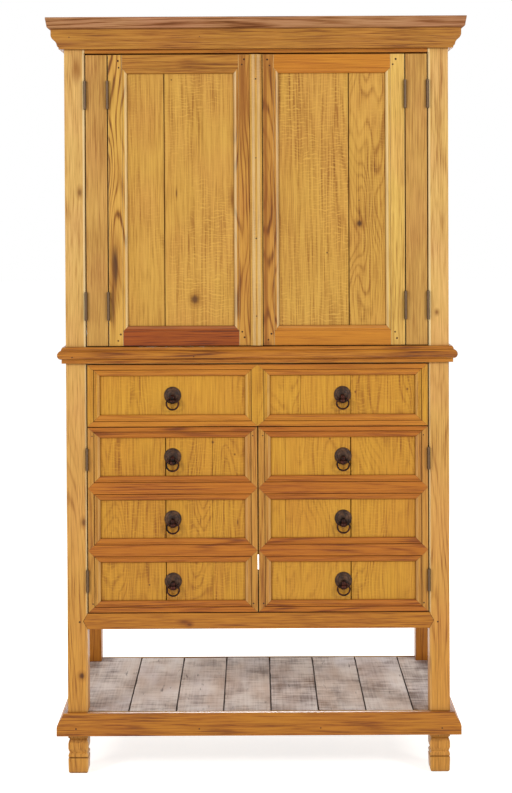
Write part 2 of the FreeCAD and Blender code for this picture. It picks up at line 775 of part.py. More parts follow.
def frame_mouldings(x0, x1, z0, z1, stiles, rails):
    """Mouldings planted round a grid of panels; members between two panels end in points.

    stiles and rails give the members' widths from left to right and from the bottom up. Returns the
    pieces and the panels' centres.
    """
    panel_w = (x1 - x0 - sum(stiles)) / (len(stiles) - 1)
    panel_h = (z1 - z0 - sum(rails)) / (len(rails) - 1)
    columns = [x0 + sum(stiles[:i]) + i * panel_w for i in range(len(stiles))]
    rows = [z0 + sum(rails[:j]) + j * panel_h for j in range(len(rails))]
    tips_x = [x0, *(columns[i] + stiles[i] / 2 for i in range(1, len(stiles) - 1)), x1]
    tips_z = [z0, *(rows[j] + rails[j] / 2 for j in range(1, len(rails) - 1)), z1]
    pieces = []
    for i in range(len(stiles) - 1):
        left, right = columns[i] + stiles[i], columns[i + 1]
        for j, height in enumerate(rails):
            low, high = rows[j], rows[j] + height
            below, above = j > 0, j < len(rails) - 1
            foot = (left, right) if below else (tips_x[i], tips_x[i + 1])
            head = (left, right) if above else (tips_x[i], tips_x[i + 1])
            outline = [(foot[0], low), (foot[1], low)]
            if below and above:
                outline.append((tips_x[i + 1], tips_z[j]))
            outline += [(head[1], high), (head[0], high)]
            if below and above:
                outline.append((tips_x[i], tips_z[j]))
            bar = extruded(
                moulded_bar(low, high, below, above),
                lambda t, y, start_x=tips_x[i]: Vector(start_x, y, t),
                Vector(tips_x[i + 1] - tips_x[i], 0, 0),
            )
            pieces.append(bar.common(front_prism(outline, FRONT, BOARDS_FRONT)))
    for j in range(len(rails) - 1):
        low, high = rows[j] + rails[j], rows[j + 1]
        for i, width in enumerate(stiles):
            left, right = columns[i], columns[i] + width
            before, after = i > 0, i < len(stiles) - 1
            near = (low, high) if before else (tips_z[j], tips_z[j + 1])
            far = (low, high) if after else (tips_z[j], tips_z[j + 1])
            outline = [(left, near[1]), (left, near[0])]
            if before and after:
                outline.append((tips_x[i], tips_z[j]))
            outline += [(right, far[0]), (right, far[1])]
            if before and after:
                outline.append((tips_x[i], tips_z[j + 1]))
            bar = extruded(
                moulded_bar(left, right, before, after),
                lambda t, y, start_z=tips_z[j]: Vector(t, y, start_z),
                Vector(0, 0, tips_z[j + 1] - tips_z[j]),
            )
            pieces.append(bar.common(front_prism(outline, FRONT, BOARDS_FRONT)))
    centres = [
        (columns[i] + stiles[i] + panel_w / 2, rows[j] + rails[j] + panel_h / 2)
        for j in range(len(rails) - 1)
        for i in range(len(stiles) - 1)
    ]
    return pieces, centres


# Drawer

def dovetails(x0, x1, y_root, y_end, z0, z1):
    """The tails on one end of a drawer side, flaring from root to end."""
    pitch = (z1 - z0) / TAIL_COUNT
    tails = []
    for i in range(TAIL_COUNT):
        middle = z0 + pitch * (i + 0.5)
        wide = pitch * TAIL_SHARE / 2
        narrow = wide - TAIL_FLARE
        outline = [
            (y_root, middle - narrow),
            (y_end, middle - wide),
            (y_end, middle + wide),
            (y_root, middle + narrow),
        ]
        tails.append(side_prism(outline, x0, x1))
    return tails


def drawer_box():
    """Dovetailed drawer sides, front and back, and the bottom that slides in under the back."""
    half = POST_IN - BOX_SIDE_ROOM
    inner = half - BOX_WALL
    y0, y1 = LEAF_BACK, BACK - BOX_BACK_ROOM
    front_in, back_in = y0 + BOX_WALL, y1 - BOX_WALL
    z0, z1 = RUNNER_TOP + RUN_CLEARANCE, WAIST_Z - BOX_TOP_ROOM
    bottom_z = z0 + BOX_BOTTOM_RAISE
    back_z = bottom_z + BOX_BOTTOM
    slack = BOX_BOTTOM_CLEARANCE
    groove = block(
        -inner - BOX_BOTTOM_GROOVE, inner + BOX_BOTTOM_GROOVE,
        front_in - BOX_BOTTOM_GROOVE, y1 + OVERCUT,
        bottom_z - slack, back_z,
    )
    tails = dovetails(-half, -inner, front_in, y0, z0, z1)
    tails += dovetails(-half, -inner, back_in, y1, back_z, z1)
    heel = block(-half, -inner, back_in, y1, z0, bottom_z - slack)
    side = fused(block(-half, -inner, front_in, back_in, z0, z1), heel, *tails).cut(groove)
    sides = [side, mirrored(side)]
    front = block(-half, half, y0, front_in, z0, z1).cut([groove, *sides])
    back = block(-half, half, back_in, y1, back_z, z1).cut(sides)
    edge = BOX_BOTTOM_GROOVE - slack
    bottom = block(-inner - edge, inner + edge, front_in - edge, y1, bottom_z, back_z - slack)
    return [*sides, front, back], bottom


def drawer_runners():
    """Rebated runners between the posts: the drawer rides on the ledge and the wall guides it."""
    top = RUNNER_TOP
    foot = top - RUNNER_HEIGHT
    guide = POST_IN - BOX_SIDE_ROOM + GUIDE_CLEARANCE
    outline = [
        (-RAIL_IN, foot),
        (-POST_IN + RUNNER_OVERLAP, foot),
        (-POST_IN + RUNNER_OVERLAP, top),
        (-guide, top),
        (-guide, top + RUNNER_GUIDE_HEIGHT),
        (-RAIL_IN, top + RUNNER_GUIDE_HEIGHT),
    ]
    left = front_prism(outline, FRONT_POST_BACK, BACK_POST_FRONT)
    return [left, mirrored(left)]


# Small round hardware, drawn with flats

def corners_round(sides, place):
    """The corners that place gives for each angle of a regular polygon."""
    return [place(2 * math.pi * (i + 0.5) / sides) for i in range(sides)]


def flat_face(corners):
    """A flat face with the given corners."""
    return Part.Face(Part.makePolygon([*corners, corners[0]]))


def round_bar(sides, radius, start, along, across):
    """A bar of the given radius at its corners, from start; across is square to it."""
    other = along.cross(across).normalize()

    def corner(angle):
        return start + across * (radius * math.cos(angle)) + other * (radius * math.sin(angle))

    return flat_face(corners_round(sides, corner)).extrude(along)


def skinned(loops, closed):
    """A solid with flat faces from each loop of corners to the next; open ends are capped."""
    following = loops[1:] + (loops[:1] if closed else [])
    faces = [] if closed else [flat_face(loops[0]), flat_face(loops[-1])]
    for one, two in zip(loops, following):
        count = len(one)
        faces += [flat_face([one[i - 1], one[i], two[i], two[i - 1]]) for i in range(count)]
    solid = Part.makeSolid(Part.makeShell(faces))
    return solid.reversed() if solid.Volume < 0 else solid


# Butt hinges

def hinge(axis_x, z_mid, length):
    """A left-hand butt hinge closed in its gap: the fixed leaf with its pin, and the moving leaf."""
    z0, z1 = z_mid - length / 2, z_mid + length / 2
    pitch = length / KNUCKLE_COUNT
    flat_share = math.cos(math.pi / KNUCKLE_SIDES)
    bore_radius = (PIN_RADIUS + PIN_CLEARANCE) / flat_share
    wall = (bore_radius + KNUCKLE_RADIUS) / 2
    plate_y = HINGE_Y + KNUCKLE_RADIUS + HINGE_RELIEF

    def bar(radius, low, high):
        start = Vector(axis_x, HINGE_Y, low)
        return round_bar(KNUCKLE_SIDES, radius, start, Vector(0, 0, high - low), Vector(1, 0, 0))

    leaves = []
    for sign, first in ((-1, 0), (1, 1)):
        flat = axis_x + sign * HINGE_GAP / 2
        x0, x1 = sorted((flat, flat - sign * HINGE_LEAF))
        pieces = []
        for k in range(first, KNUCKLE_COUNT, 2):
            low, high = z0 + k * pitch + KNUCKLE_GAP / 2, z0 + (k + 1) * pitch - KNUCKLE_GAP / 2
            web = block(x0, x1, HINGE_Y + wall, plate_y + OVERCUT, low, high)
            pieces += [bar(KNUCKLE_RADIUS, low, high), web]
        leaves.append(fused(block(x0, x1, plate_y, FRONT + HINGE_LEAF_DEPTH, z0, z1), *pieces))
    pin = bar(PIN_RADIUS, z0 + KNUCKLE_GAP, z1 - KNUCKLE_GAP)
    return fused(leaves[0], pin), leaves[1].cut(bar(bore_radius, z0, z1))


def hinge_pair(axis_x, z0, z1, inset, length):
    """Two hinges on one axis, as lists of fixed leaves and moving leaves."""
    lower, upper = hinge(axis_x, z0 + inset, length), hinge(axis_x, z1 - inset, length)
    return [list(pieces) for pieces in zip(lower, upper)]


# Ring pulls

def pull_plate(x, z):
    """A cast plate with a beaded rim, and the eye that the ring hangs in."""
    y = BOARDS_FRONT
    profile = [
        (PLATE_RADIUS, 0),
        (PLATE_RADIUS, PLATE_RIM),
        PLATE_BEAD,
        PLATE_VALLEY,
        (PLATE_BOSS_RADIUS, PLATE_PROUD),
    ]

    def level(r, out):
        return corners_round(
            PLATE_SIDES,
            lambda angle: Vector(x + r * math.cos(angle), y - out, z + r * math.sin(angle)),
        )

    plate = skinned([level(r, out) for r, out in profile], False)
    eye = Vector(x, y - EYE_PROUD, z - EYE_DROP)
    width = Vector(2 * EYE_HALF_WIDTH, 0, 0)
    start = eye - width / 2
    lug = round_bar(EYE_SIDES, EYE_RADIUS, start, width, Vector(0, 1, 0))
    neck = block(
        x - EYE_HALF_WIDTH, x + EYE_HALF_WIDTH, eye.y + EYE_HOLE_RADIUS, y - PLATE_RIM,
        eye.z - EYE_NECK_HALF, eye.z + EYE_NECK_HALF,
    )
    hole = round_bar(EYE_SIDES, EYE_HOLE_RADIUS, start, width, Vector(0, 1, 0))
    return fused(plate, lug, neck).cut(hole)


def pull_ring(x, z):
    """The ring, hanging straight down from its eye: a many-sided wire closed on itself."""
    centre = Vector(x, BOARDS_FRONT - EYE_PROUD, z - EYE_DROP - RING_RADIUS)

    def section(turn):
        outward = Vector(math.sin(turn), 0, math.cos(turn))
        return corners_round(
            RING_WIRE_SIDES,
            lambda angle: centre + outward * (RING_RADIUS + RING_WIRE_RADIUS * math.cos(angle))
            + Vector(0, RING_WIRE_RADIUS * math.sin(angle), 0),
        )

    return skinned([section(2 * math.pi * k / RING_STATIONS) for k in range(RING_STATIONS)], True)


# Assembly of the carcase

def build_carcase():
    front_rails = {
        "front_top_rail": front_top_rail(),
        "front_waist_rail": rail_across(POST_IN, FRONT, FRONT_RAIL_BACK, WAIST_Z, DECK_Z),
        "front_bottom_rail": front_bottom_rail(),
        "divider_rail": divider_rail(),
    }
    stages = [(RAIL_Z, FLOOR_Z), (WAIST_Z, DECK_Z), (TOP_RAIL_Z, BODY_TOP)]
    panels = [(FLOOR_Z, WAIST_Z), (DECK_Z, TOP_RAIL_Z)]
    grooves = [block(*side_panel_box(*span, GROOVE_DEPTH, GROOVE_CLEARANCE)) for span in panels]
    left_rails = [side_rail(*stage).cut(grooves) for stage in stages]
    back_rails = [
        rail_across(BACK_POST_IN, BACK_RAIL_FRONT, BACK_BOARDS_FRONT, *stage) for stage in stages
    ]
    base = base_rails()

    guests = [*front_rails.values(), *left_rails, *back_rails, *base, *grooves]
    front_post = left_post(POST_WIDTH, FRONT, FRONT_POST_BACK).cut([*guests, *post_chamfers()])
    back_post = left_post(BACK_POST_WIDTH, BACK_POST_FRONT, BACK).cut(guests)
    posts = [front_post, mirrored(front_post), back_post, mirrored(back_post)]

    node("front_left_post", posts[0])
    node("front_right_post", posts[1])
    node("back_left_post", posts[2])
    node("back_right_post", posts[3])
    for name, rail in front_rails.items():
        node(name, rail)
    node("left_side_rails", *left_rails)
    node("right_side_rails", *(mirrored(rail) for rail in left_rails))
    boards = [board for span in panels for board in side_boards(*span)]
    node("left_side_boards", *boards)
    node("right_side_boards", *(mirrored(board) for board in boards))
    node("back_rails", *back_rails)
    split = (WAIST_Z + DECK_Z) / 2
    node(
        "back_boards",
        *back_boards(RAIL_Z, split - BOARD_GAP, FLOOR_Z, LOWER_SLOT_START),
        *back_boards(split, BODY_TOP, DECK_Z, UPPER_SLOT_START),
    )
    node("base_rails", *base)
    node("base_moulding", *base_moulding())
    node("base_planks", *base_planks(posts))
    node("plank_bearers", *plank_bearers())
    node("waist_moulding", *waist_moulding())
    node("cornice_moulding", *cornice_moulding())
    node("cornice_cap", cornice_cap())
    build_shelves(posts)
    node("drawer_runners", *drawer_runners())


def build_shelves(posts):
    """Deck, compartment floor and shelf, and the cleats under their ends."""
    inside = (-RAIL_IN, RAIL_IN, FRONT_RAIL_BACK, BACK_RAIL_FRONT)
    deck_foot = DECK_Z - DECK_THICKNESS
    floor_foot = FLOOR_Z - FLOOR_THICKNESS
    shelf_foot = SHELF_TOP - SHELF_THICKNESS
    node("tv_deck", block(*inside, deck_foot, DECK_Z).cut(posts))
    node("compartment_floor", block(*inside, floor_foot, FLOOR_Z).cut(posts))
    shelf_half = RAIL_IN - SHELF_END_ROOM
    shelf_y = (FRONT + SHELF_FRONT_ROOM, BACK_POST_FRONT - SHELF_BACK_ROOM)
    node("compartment_shelf", block(-shelf_half, shelf_half, *shelf_y, shelf_foot, SHELF_TOP))
    cleats = [
        block(-RAIL_IN, -RAIL_IN + CLEAT_WIDTH, FRONT_POST_BACK, BACK_POST_FRONT, top - CLEAT_HEIGHT, top)
        for top in (deck_foot, floor_foot, shelf_foot)
    ]
    node("shelf_cleats", *cleats, *(mirrored(cleat) for cleat in cleats))


# Assembly of what moves

def build_upper_doors():
    strip = block(-STRIP_OUT, -STRIP_IN, FRONT, LEAF_BACK, UPPER_DOOR_Z, UPPER_DOOR_TOP)
    span = (UPPER_DOOR_Z, UPPER_DOOR_TOP, UPPER_HINGE_INSET, UPPER_HINGE_LENGTH)
    post_leaves, strip_outer_leaves = hinge_pair(-POST_AXIS, *span)
    strip_leaves, door_leaves = hinge_pair(-STRIP_AXIS, *span)
    strip_hinges = [*strip_outer_leaves, *strip_leaves]
    node("left_strip", strip)
    node("left_strip_hinges", *strip_hinges)
    node("left_door_hinge_leaves", *door_leaves)
    node("right_strip", mirrored(strip))
    node("right_strip_hinges", *(mirrored(piece) for piece in strip_hinges))
    node("right_door_hinge_leaves", *(mirrored(leaf) for leaf in door_leaves))

    left_edge = MEETING_OFFSET - UPPER_MEETING_GAP / 2
    right_edge = MEETING_OFFSET + UPPER_MEETING_GAP / 2
    frame, panel = upper_door(-DOOR_OUT, left_edge, DOOR_STILE, LEFT_MEETING_STILE, -DOOR_BOARD_JOINT)
    node("left_door_frame", *frame)
    node("left_door_panel", *panel)
    node("left_door_astragal", astragal(left_edge))
    frame, panel = upper_door(right_edge, DOOR_OUT, RIGHT_MEETING_STILE, DOOR_STILE, DOOR_BOARD_JOINT)
    node("right_door_frame", *frame)
    node("right_door_panel", *panel)
    return post_leaves


def build_lower_doors():
    span = (LOWER_DOOR_Z, LOWER_DOOR_TOP, LOWER_HINGE_INSET, LOWER_HINGE_LENGTH)
    post_leaves, door_leaves = hinge_pair(-POST_AXIS, *span)
    node("lower_left_door_hinge_leaves", *door_leaves)
    node("lower_right_door_hinge_leaves", *(mirrored(leaf) for leaf in door_leaves))
    half_gap = LOWER_MEETING_GAP / 2
    rails = [LOWER_BOTTOM_RAIL, *[LOWER_MID_RAIL] * (LOWER_PANEL_COUNT - 1), LOWER_TOP_RAIL]
    doors = (
        ("lower_left", -STRIP_OUT, -half_gap, LOWER_LEFT_JOINTS),
        ("lower_right", half_gap, STRIP_OUT, LOWER_RIGHT_JOINTS),
    )
    for name, x0, x1, joints in doors:
        boards = boards_between(x0, x1, joints, BOARDS_FRONT, LEAF_BACK, LOWER_DOOR_Z, LOWER_DOOR_TOP)
        pieces, centres = frame_mouldings(
            x0, x1, LOWER_DOOR_Z, LOWER_DOOR_TOP, [FRONT_STILE, FRONT_STILE], rails,
        )
        node(name + "_door_boards", *boards)
        node(name + "_door_mouldings", *pieces)
        node(name + "_pull_plates", *(pull_plate(*centre) for centre in centres))
        for place, centre in zip(("bottom", "middle", "top"), centres):
            node(name + "_ring_" + place, pull_ring(*centre))
    return post_leaves


def build_drawer():
    x0, x1 = -STRIP_OUT, STRIP_OUT
    boards = boards_between(x0, x1, DRAWER_JOINTS, BOARDS_FRONT, LEAF_BACK, DRAWER_Z, DRAWER_TOP)
    pieces, centres = frame_mouldings(
        x0, x1, DRAWER_Z, DRAWER_TOP,
        [FRONT_STILE, DRAWER_CENTRE_STILE, FRONT_STILE], [DRAWER_RAIL, DRAWER_RAIL],
    )
    walls, bottom = drawer_box()
    node("drawer_front_boards", *boards)
    node("drawer_front_mouldings", *pieces)
    node("drawer_box", *walls)
    node("drawer_bottom", bottom)
    node("drawer_pull_plates", *(pull_plate(*centre) for centre in centres))
    for place, centre in zip(("left", "right"), centres):
        node("drawer_ring_" + place, pull_ring(*centre))


build_carcase()
left_hinges = build_upper_doors() + build_lower_doors()
node("post_hinges", *left_hinges, *(mirrored(piece) for piece in left_hinges))
build_drawer()

os.makedirs("parts", exist_ok=True)
for name, solids in NODES.items():
    shape = solids[0] if len(solids) == 1 else Part.makeCompound(solids)
    shape.exportStep("parts/" + name + ".step")
    print(name, len(solids), "solids", all(solid.isValid() for solid in solids), round(shape.Volume))
print(len(NODES), "nodes")
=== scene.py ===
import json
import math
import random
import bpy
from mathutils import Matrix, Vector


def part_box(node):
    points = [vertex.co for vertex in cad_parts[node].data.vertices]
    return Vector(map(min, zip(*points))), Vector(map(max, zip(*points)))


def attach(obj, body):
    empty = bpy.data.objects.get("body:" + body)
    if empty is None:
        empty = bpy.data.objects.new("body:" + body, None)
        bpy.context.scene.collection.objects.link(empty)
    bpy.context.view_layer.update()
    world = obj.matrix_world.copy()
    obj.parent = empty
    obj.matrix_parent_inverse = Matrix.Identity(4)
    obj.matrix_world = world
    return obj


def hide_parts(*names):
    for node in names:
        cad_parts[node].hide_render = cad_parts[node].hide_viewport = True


bl_info = {
    "name": "Fold-back television cabinet",
    "version": (1, 0, 0),
    "blender": (4, 5, 0),
    "location": "View3D > Sidebar > Cabinet",
    "description": "Waxed pine, rough planks and iron pulls of a rustic television cabinet, with its stage",
    "category": "Object",
}

import bmesh
import bpy
from mathutils import Euler, Vector, noise

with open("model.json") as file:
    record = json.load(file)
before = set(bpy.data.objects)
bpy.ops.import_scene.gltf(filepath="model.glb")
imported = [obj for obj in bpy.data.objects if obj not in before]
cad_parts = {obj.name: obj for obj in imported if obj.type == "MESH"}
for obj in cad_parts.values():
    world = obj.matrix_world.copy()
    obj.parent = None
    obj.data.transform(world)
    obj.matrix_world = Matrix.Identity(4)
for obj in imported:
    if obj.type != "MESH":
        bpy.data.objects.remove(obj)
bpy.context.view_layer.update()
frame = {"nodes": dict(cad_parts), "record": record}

MM = 0.001
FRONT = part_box("front_left_post")[0].y
BODIES = frame["record"]["behaviour"]["bodies"]
BODY_OF = {node: body for body, nodes in BODIES.items() for node in nodes}


def linear(code):
    """An sRGB hex colour as linear red, green and blue."""
    values = [int(code[i:i + 2], 16) / 255 for i in (1, 3, 5)]
    return tuple(v / 12.92 if v <= 0.04045 else ((v + 0.055) / 1.055) ** 2.4 for v in values)


def colour_property(name, description, code):
    """A colour that a user may change."""
    return bpy.props.FloatVectorProperty(
        name=name, description=description, subtype="COLOR", size=3, min=0, max=1, default=linear(code),
    )


def number_property(name, description, default, **kind):
    """A number that a user may change."""
    return bpy.props.FloatProperty(name=name, description=description, default=default, **kind)


def length_property(name, description, default):
    """A length in metres that a user may change."""
    return number_property(name, description, default, unit="LENGTH", min=0)


class CabinetWood(bpy.types.PropertyGroup):
    """Stains of the pine and how far its edges are eased."""

    straw: colour_property("Straw stain", "Pale waxed pine of the posts", "#D7A95C")
    wheat: colour_property("Wheat stain", "Brightest waxed pine, on one door's stile", "#E0B459")
    honey: colour_property("Honey stain", "Waxed pine of the upper panels and the sides", "#CD9A41")
    golden: colour_property("Golden stain", "Deeper waxed pine of the drawer and lower panels", "#CA902A")
    fawn: colour_property("Fawn stain", "Pinkish pine of the hinged strips", "#CB9A4C")
    amber: colour_property("Amber stain", "Waxed pine of the doors' upright pieces", "#C28836")
    tawny: colour_property("Tawny stain", "Brown pine of the cornice and one top rail", "#B3792A")
    caramel: colour_property("Caramel stain", "Smooth pine of the drawer's and one door's rails", "#C47D22")
    toffee: colour_property("Toffee stain", "Darker pine of rails and mouldings", "#B4711E")
    russet: colour_property("Russet stain", "Red pine of the rails between panels", "#B26817")
    brick: colour_property("Brick stain", "Reddest pine, on one bottom rail", "#96480C")
    umber: colour_property("Umber stain", "Dusty brown pine of the cornice's cap", "#B07E54")
    bare: colour_property("Bare pine", "Unwaxed pine inside and behind", "#BF9A63")
    weathered: colour_property("Weathered pine", "Grey of the rough shelf planks", "#DDD2CA")
    # The cream of a painted highlight on mouldings, bead, chamfers and the posts' inner strip, patchy like
    # wear
    pale_wear_and_highlight: colour_property("Rubbed edge", "Pale wood where hands have rubbed the stain off", "#F5DCA4")
    # Also the colour of the painted shade darkened into the wood's corners and the planks' gaps
    wax: colour_property("Old wax", "Dark wax and dust left in corners", "#3C1C08")
    ease: length_property("Eased edge", "Width of the rounded arris on boards and posts", 2.0 * MM)
    moulding_ease: length_property("Moulding edge", "Width of the rounded arris on mouldings", 0.6 * MM)
    plank_wear: length_property("Plank wear", "How far the planks' faces are worn hollow", 2.2 * MM)


class CabinetIron(bpy.types.PropertyGroup):
    """Cast plates, rings and hinges."""

    iron: colour_property("Cast iron", "Dark brown iron of plates", "#2A180D")
    rubbed: colour_property("Rubbed iron", "Paler iron where hands have rubbed it", "#6E4C33")
    steel: colour_property("Hinge steel", "Aged steel of the butt hinges", "#1E130C")
    # Pale steel of rubbed patches, and of the painted glint on the hinges' front faces
    bright: colour_property("Bright steel", "Hinge steel rubbed bare", "#6E563E")
    # Also the colour of the painted shade in the hollows of plates, hinges, eyes and rings
    soot: colour_property("Soot", "Black oil and rust in eyes, rings and hollows", "#0E0604")
    rust: colour_property("Rust", "Red rust that shows on the oily castings", "#5A2A1C")
    peg: colour_property("Peg end", "Dark end grain of the wooden pegs", "#4A2812")
    peg_radius: length_property("Peg radius", "Radius of a wooden peg's end", 2.6 * MM)
    nail_radius: length_property("Nail radius", "Radius of a nail's head", 2.0 * MM)


class CabinetStage(bpy.types.PropertyGroup):
    """Camera, lights and floor."""

    distance: length_property("Camera distance", "From the camera to the cabinet's front", 4.6)
    eye: length_property("Eye height", "Height of the camera above the floor", 1.53)
    lens: number_property("Lens", "Focal length", 77.9, unit="CAMERA", min=10)
    shift: number_property("Shift", "Upward shift of the lens, as a share of the picture's height", -0.2114)
    roll: number_property("Roll", "Lean of the camera", math.radians(-0.27), subtype="ANGLE")
    dip: number_property("Dip", "How far the camera looks down", math.radians(0.8), subtype="ANGLE")
    key: number_property("Key lamp", "Power of the lamp on the right", 76, unit="POWER")
    fill: number_property("Fill lamp", "Power of the lamp on the left", 76, unit="POWER")
    back: number_property("Back lamp", "Power of the lamp behind the open shelf", 60, unit="POWER")
    sky: number_property("Sky", "Even light from all round", 0.4)
    floor: colour_property("Floor", "Pale studio floor", "#F4F2EE")


# Materials


MATH = "ShaderNodeMath"
VECTOR = "ShaderNodeVectorMath"
RANGE = "ShaderNodeMapRange"
MIX = "ShaderNodeMix"
RAMP = "ShaderNodeValToRGB"
ATTRIBUTE = "ShaderNodeAttribute"
HOLLOW = "ShaderNodeAmbientOcclusion"
PRINCIPLED = "ShaderNodeBsdfPrincipled"
SURFACE = "ShaderNodeOutputMaterial"
SPLIT = "ShaderNodeSeparateXYZ"
PLACE = "ShaderNodeTexCoord"
BUMP = "ShaderNodeBump"
# Inputs, settings and outputs that many nodes share
SHINE = "Specular IOR Level"
COLOURS = {"data_type": "RGBA", "out": 2}
OPENNESS = {"samples": 8, "out": "AO"}
MADD = {"operation": "MULTIPLY_ADD"}
TIMES = {"operation": "MULTIPLY"}


def put(tree, kind, inputs=None, out=0, stops=(), **settings):
    """Add one node with its settings and links, and return one of its outputs.

    An input takes a socket to link or a value. stops are the positions and colours of a ramp.
    """
    node = tree.nodes.new(kind)
    for name, value in settings.items():
        setattr(node, name, value)
    for key, value in (inputs or {}).items():
        if isinstance(value, bpy.types.NodeSocket):
            tree.links.new(value, node.inputs[key])
        else:
            node.inputs[key].default_value = value
    for number, (position, colour) in enumerate(stops):
        elements = node.color_ramp.elements
        element = elements[number] if number < len(elements) else elements.new(position)
        element.position = position
        element.color = colour
    return node.outputs[out] if node.outputs else None


def blank_material(name):
    """A new material with an empty tree, and its tree."""
    material = bpy.data.materials.new(name)
    material.use_nodes = True
    material.node_tree.nodes.clear()
    return material, material.node_tree


def tinted(colour, red=1.0, green=1.0, blue=1.0):
    """The colour with each part made darker or lighter, and an opaque fourth value."""
    return (*(min(1.0, part * share) for part, share in zip(colour, (red, green, blue))), 1.0)


def blotches(tree, place, across_mm, along_mm, detail, roughness=0.55):
    """Soft blotches of about those sizes; the third coordinate of the place runs along the grain."""
    scale = (1 / (across_mm * MM), 1 / (across_mm * MM), 1 / (along_mm * MM))
    scaled = put(tree, VECTOR, {0: place, 1: scale}, **TIMES)
    inputs = {"Vector": scaled, "Scale": 1.0, "Detail": detail, "Roughness": roughness}
    return put(tree, "ShaderNodeTexNoise", inputs)


def ripples(tree, distance, pitch_mm, drift):
    """A wave along a distance, bent by the drift."""
    turns = put(tree, MATH, {0: distance, 1: 2 * math.pi / (pitch_mm * MM), 2: drift}, **MADD)
    return put(tree, MATH, {0: turns}, operation="SINE")


def layered(tree, value, patterns, shares):
    """The value with patterns laid over it, each by its share."""
    for pattern, share in zip(patterns, shares):
        centred = put(tree, MATH, {0: pattern, 1: 0.5}, operation="SUBTRACT")
        value = put(tree, MATH, {0: centred, 1: share, 2: value}, **MADD)
    return value


# Painted shade darkened into corners by ambient occlusion, which in the quirks of the wood and the hollows
# of the
# iron also stands for old wax and soot: its reach in millimetres, how open a place is where it is thickest
# and where it ends, and how thick it is
# A broad painted shade beside frames and in corners, in the wood's own dark shade
WIDE_PAINTED_SHADE = (28, 0.5, 0.95, 0.4)
# Dark wax in quirks and joints, with the painted shade that falls there
WAX_AND_PAINTED_SHADE = (4, 0.2, 0.85)
# Painted shade in the gaps between the planks and under the rails
PLANK_PAINTED_SHADE = (10, 0.1, 0.7, 0.95)
# Soot in the hollows of the iron, with the painted shade that falls there
SOOT_AND_PAINTED_SHADE = (7, 0.25, 0.85, 1.0)


def shade_and_dirt_in_corners(tree, colour, shade_and_dirt_colour, reach_mm, thickest, ends, thickness):
    """The colour darkened into its corners by ambient occlusion, as painted shade with wax and soot in some
    places, and how open each place is.
    """
    air = put(tree, HOLLOW, {"Distance": reach_mm * MM}, **OPENNESS)
    share = put(tree, RANGE, {0: air, 1: thickest, 2: ends, 3: thickness, 4: 0.0})
    return put(tree, MIX, {0: share, 6: colour, 7: shade_and_dirt_colour}, **COLOURS), air


# The wood's patterns as size across and along the grain in millimetres, detail and roughness
STREAK = (13, 520, 3.0)
FIBRE = (2.6, 100, 3.0, 0.6)
MOTTLE = (150, 240, 3.0)
PATCH = (120, 360, 2.0)
BLUSH = (110, 220, 2.0)
SAW_BENDS = (40, 40, 2.0)
SAW_BREAKS = (16, 8, 1.0)
FIGURE_ACROSS_MM = 62
FIGURE_DETAIL = (1.0, 0.3)
RING_COUNT = 14
RING_PITCH_MM = 26
RING_SHARPNESS = 3.0
SAW_PITCH_MM = 8
SAW_BEND = 20.0
WORMHOLE_CELL_MM = 85
KNOT_RAGGED = 0.8
# Ranges by input number: where a pattern starts and ends to count, and its shares there
WAVE_SPAN = {1: -1.0, 2: 1.0}
PATCH_SPAN = {1: 0.36, 2: 0.60, 3: 0.15, 4: 1.0}
BLUSH_SPAN = {1: 0.4, 2: 0.66, 3: 0.0, 4: 0.75}
SAW_BREAK_SPAN = {1: 0.38, 2: 0.62}
WORMHOLE_SPAN = {1: 0.022, 2: 0.033, 3: 0.8, 4: 0.0}
HALO_SPAN = {1: 0.6, 2: 2.4, 3: 0.85, 4: 0.0}
CORE_SPAN = {1: 0.8, 2: 1.4, 4: 0.0}
LOW_SHADE_SPAN = {1: 0.3, 2: 1.4, 4: 0.0}
HIGHLIGHT_PATCH_SPAN = {1: 0.3, 2: 0.6, 3: 0.5, 4: 1.0}
DULL_SPAN = {1: 0.65, 2: 0.95, 3: 0.5, 4: 0.0}
# Roughness and shine of the wax, and relief of the wood
BARE_ROUGH = 0.68
WAX_SMOOTHS = 0.4
STREAK_ROUGH = 0.24
WAX_SHINE = 0.35
FIBRE_RELIEF = 0.5
SAW_RELIEF = 1.2
PINE_BUMP = 0.3
PINE_RELIEF_MM = 0.6
# How strongly each pattern darkens or lightens the wood
TONE_SHARE = 0.05
STREAK_SHARE = 0.42
FIBRE_SHARE = 1.6
MOTTLE_SHARE = 0.45
LATEWOOD_SHARE = 0.6
FIGURE_LIFT = 0.11
# Red, green and blue of the stain's shades against the stain
DARK_SHADE = (0.62, 0.50, 0.38)
PITCH_SHADE = (0.5, 0.42, 0.36)
PALE_SHADE = (1.22, 1.32, 1.5)
KNOT_SHADE = (0.8, 0.66, 0.5)
SHADE_STOPS = (0.0, 0.2, 0.5, 0.85)
BLUSH_TINT = (0.98, 0.90, 1.02, 1.0)
# Tint of the painted shade that darkens the posts towards the floor
LOW_SHADE_TINT = (0.88, 0.66, 0.32, 1.0)


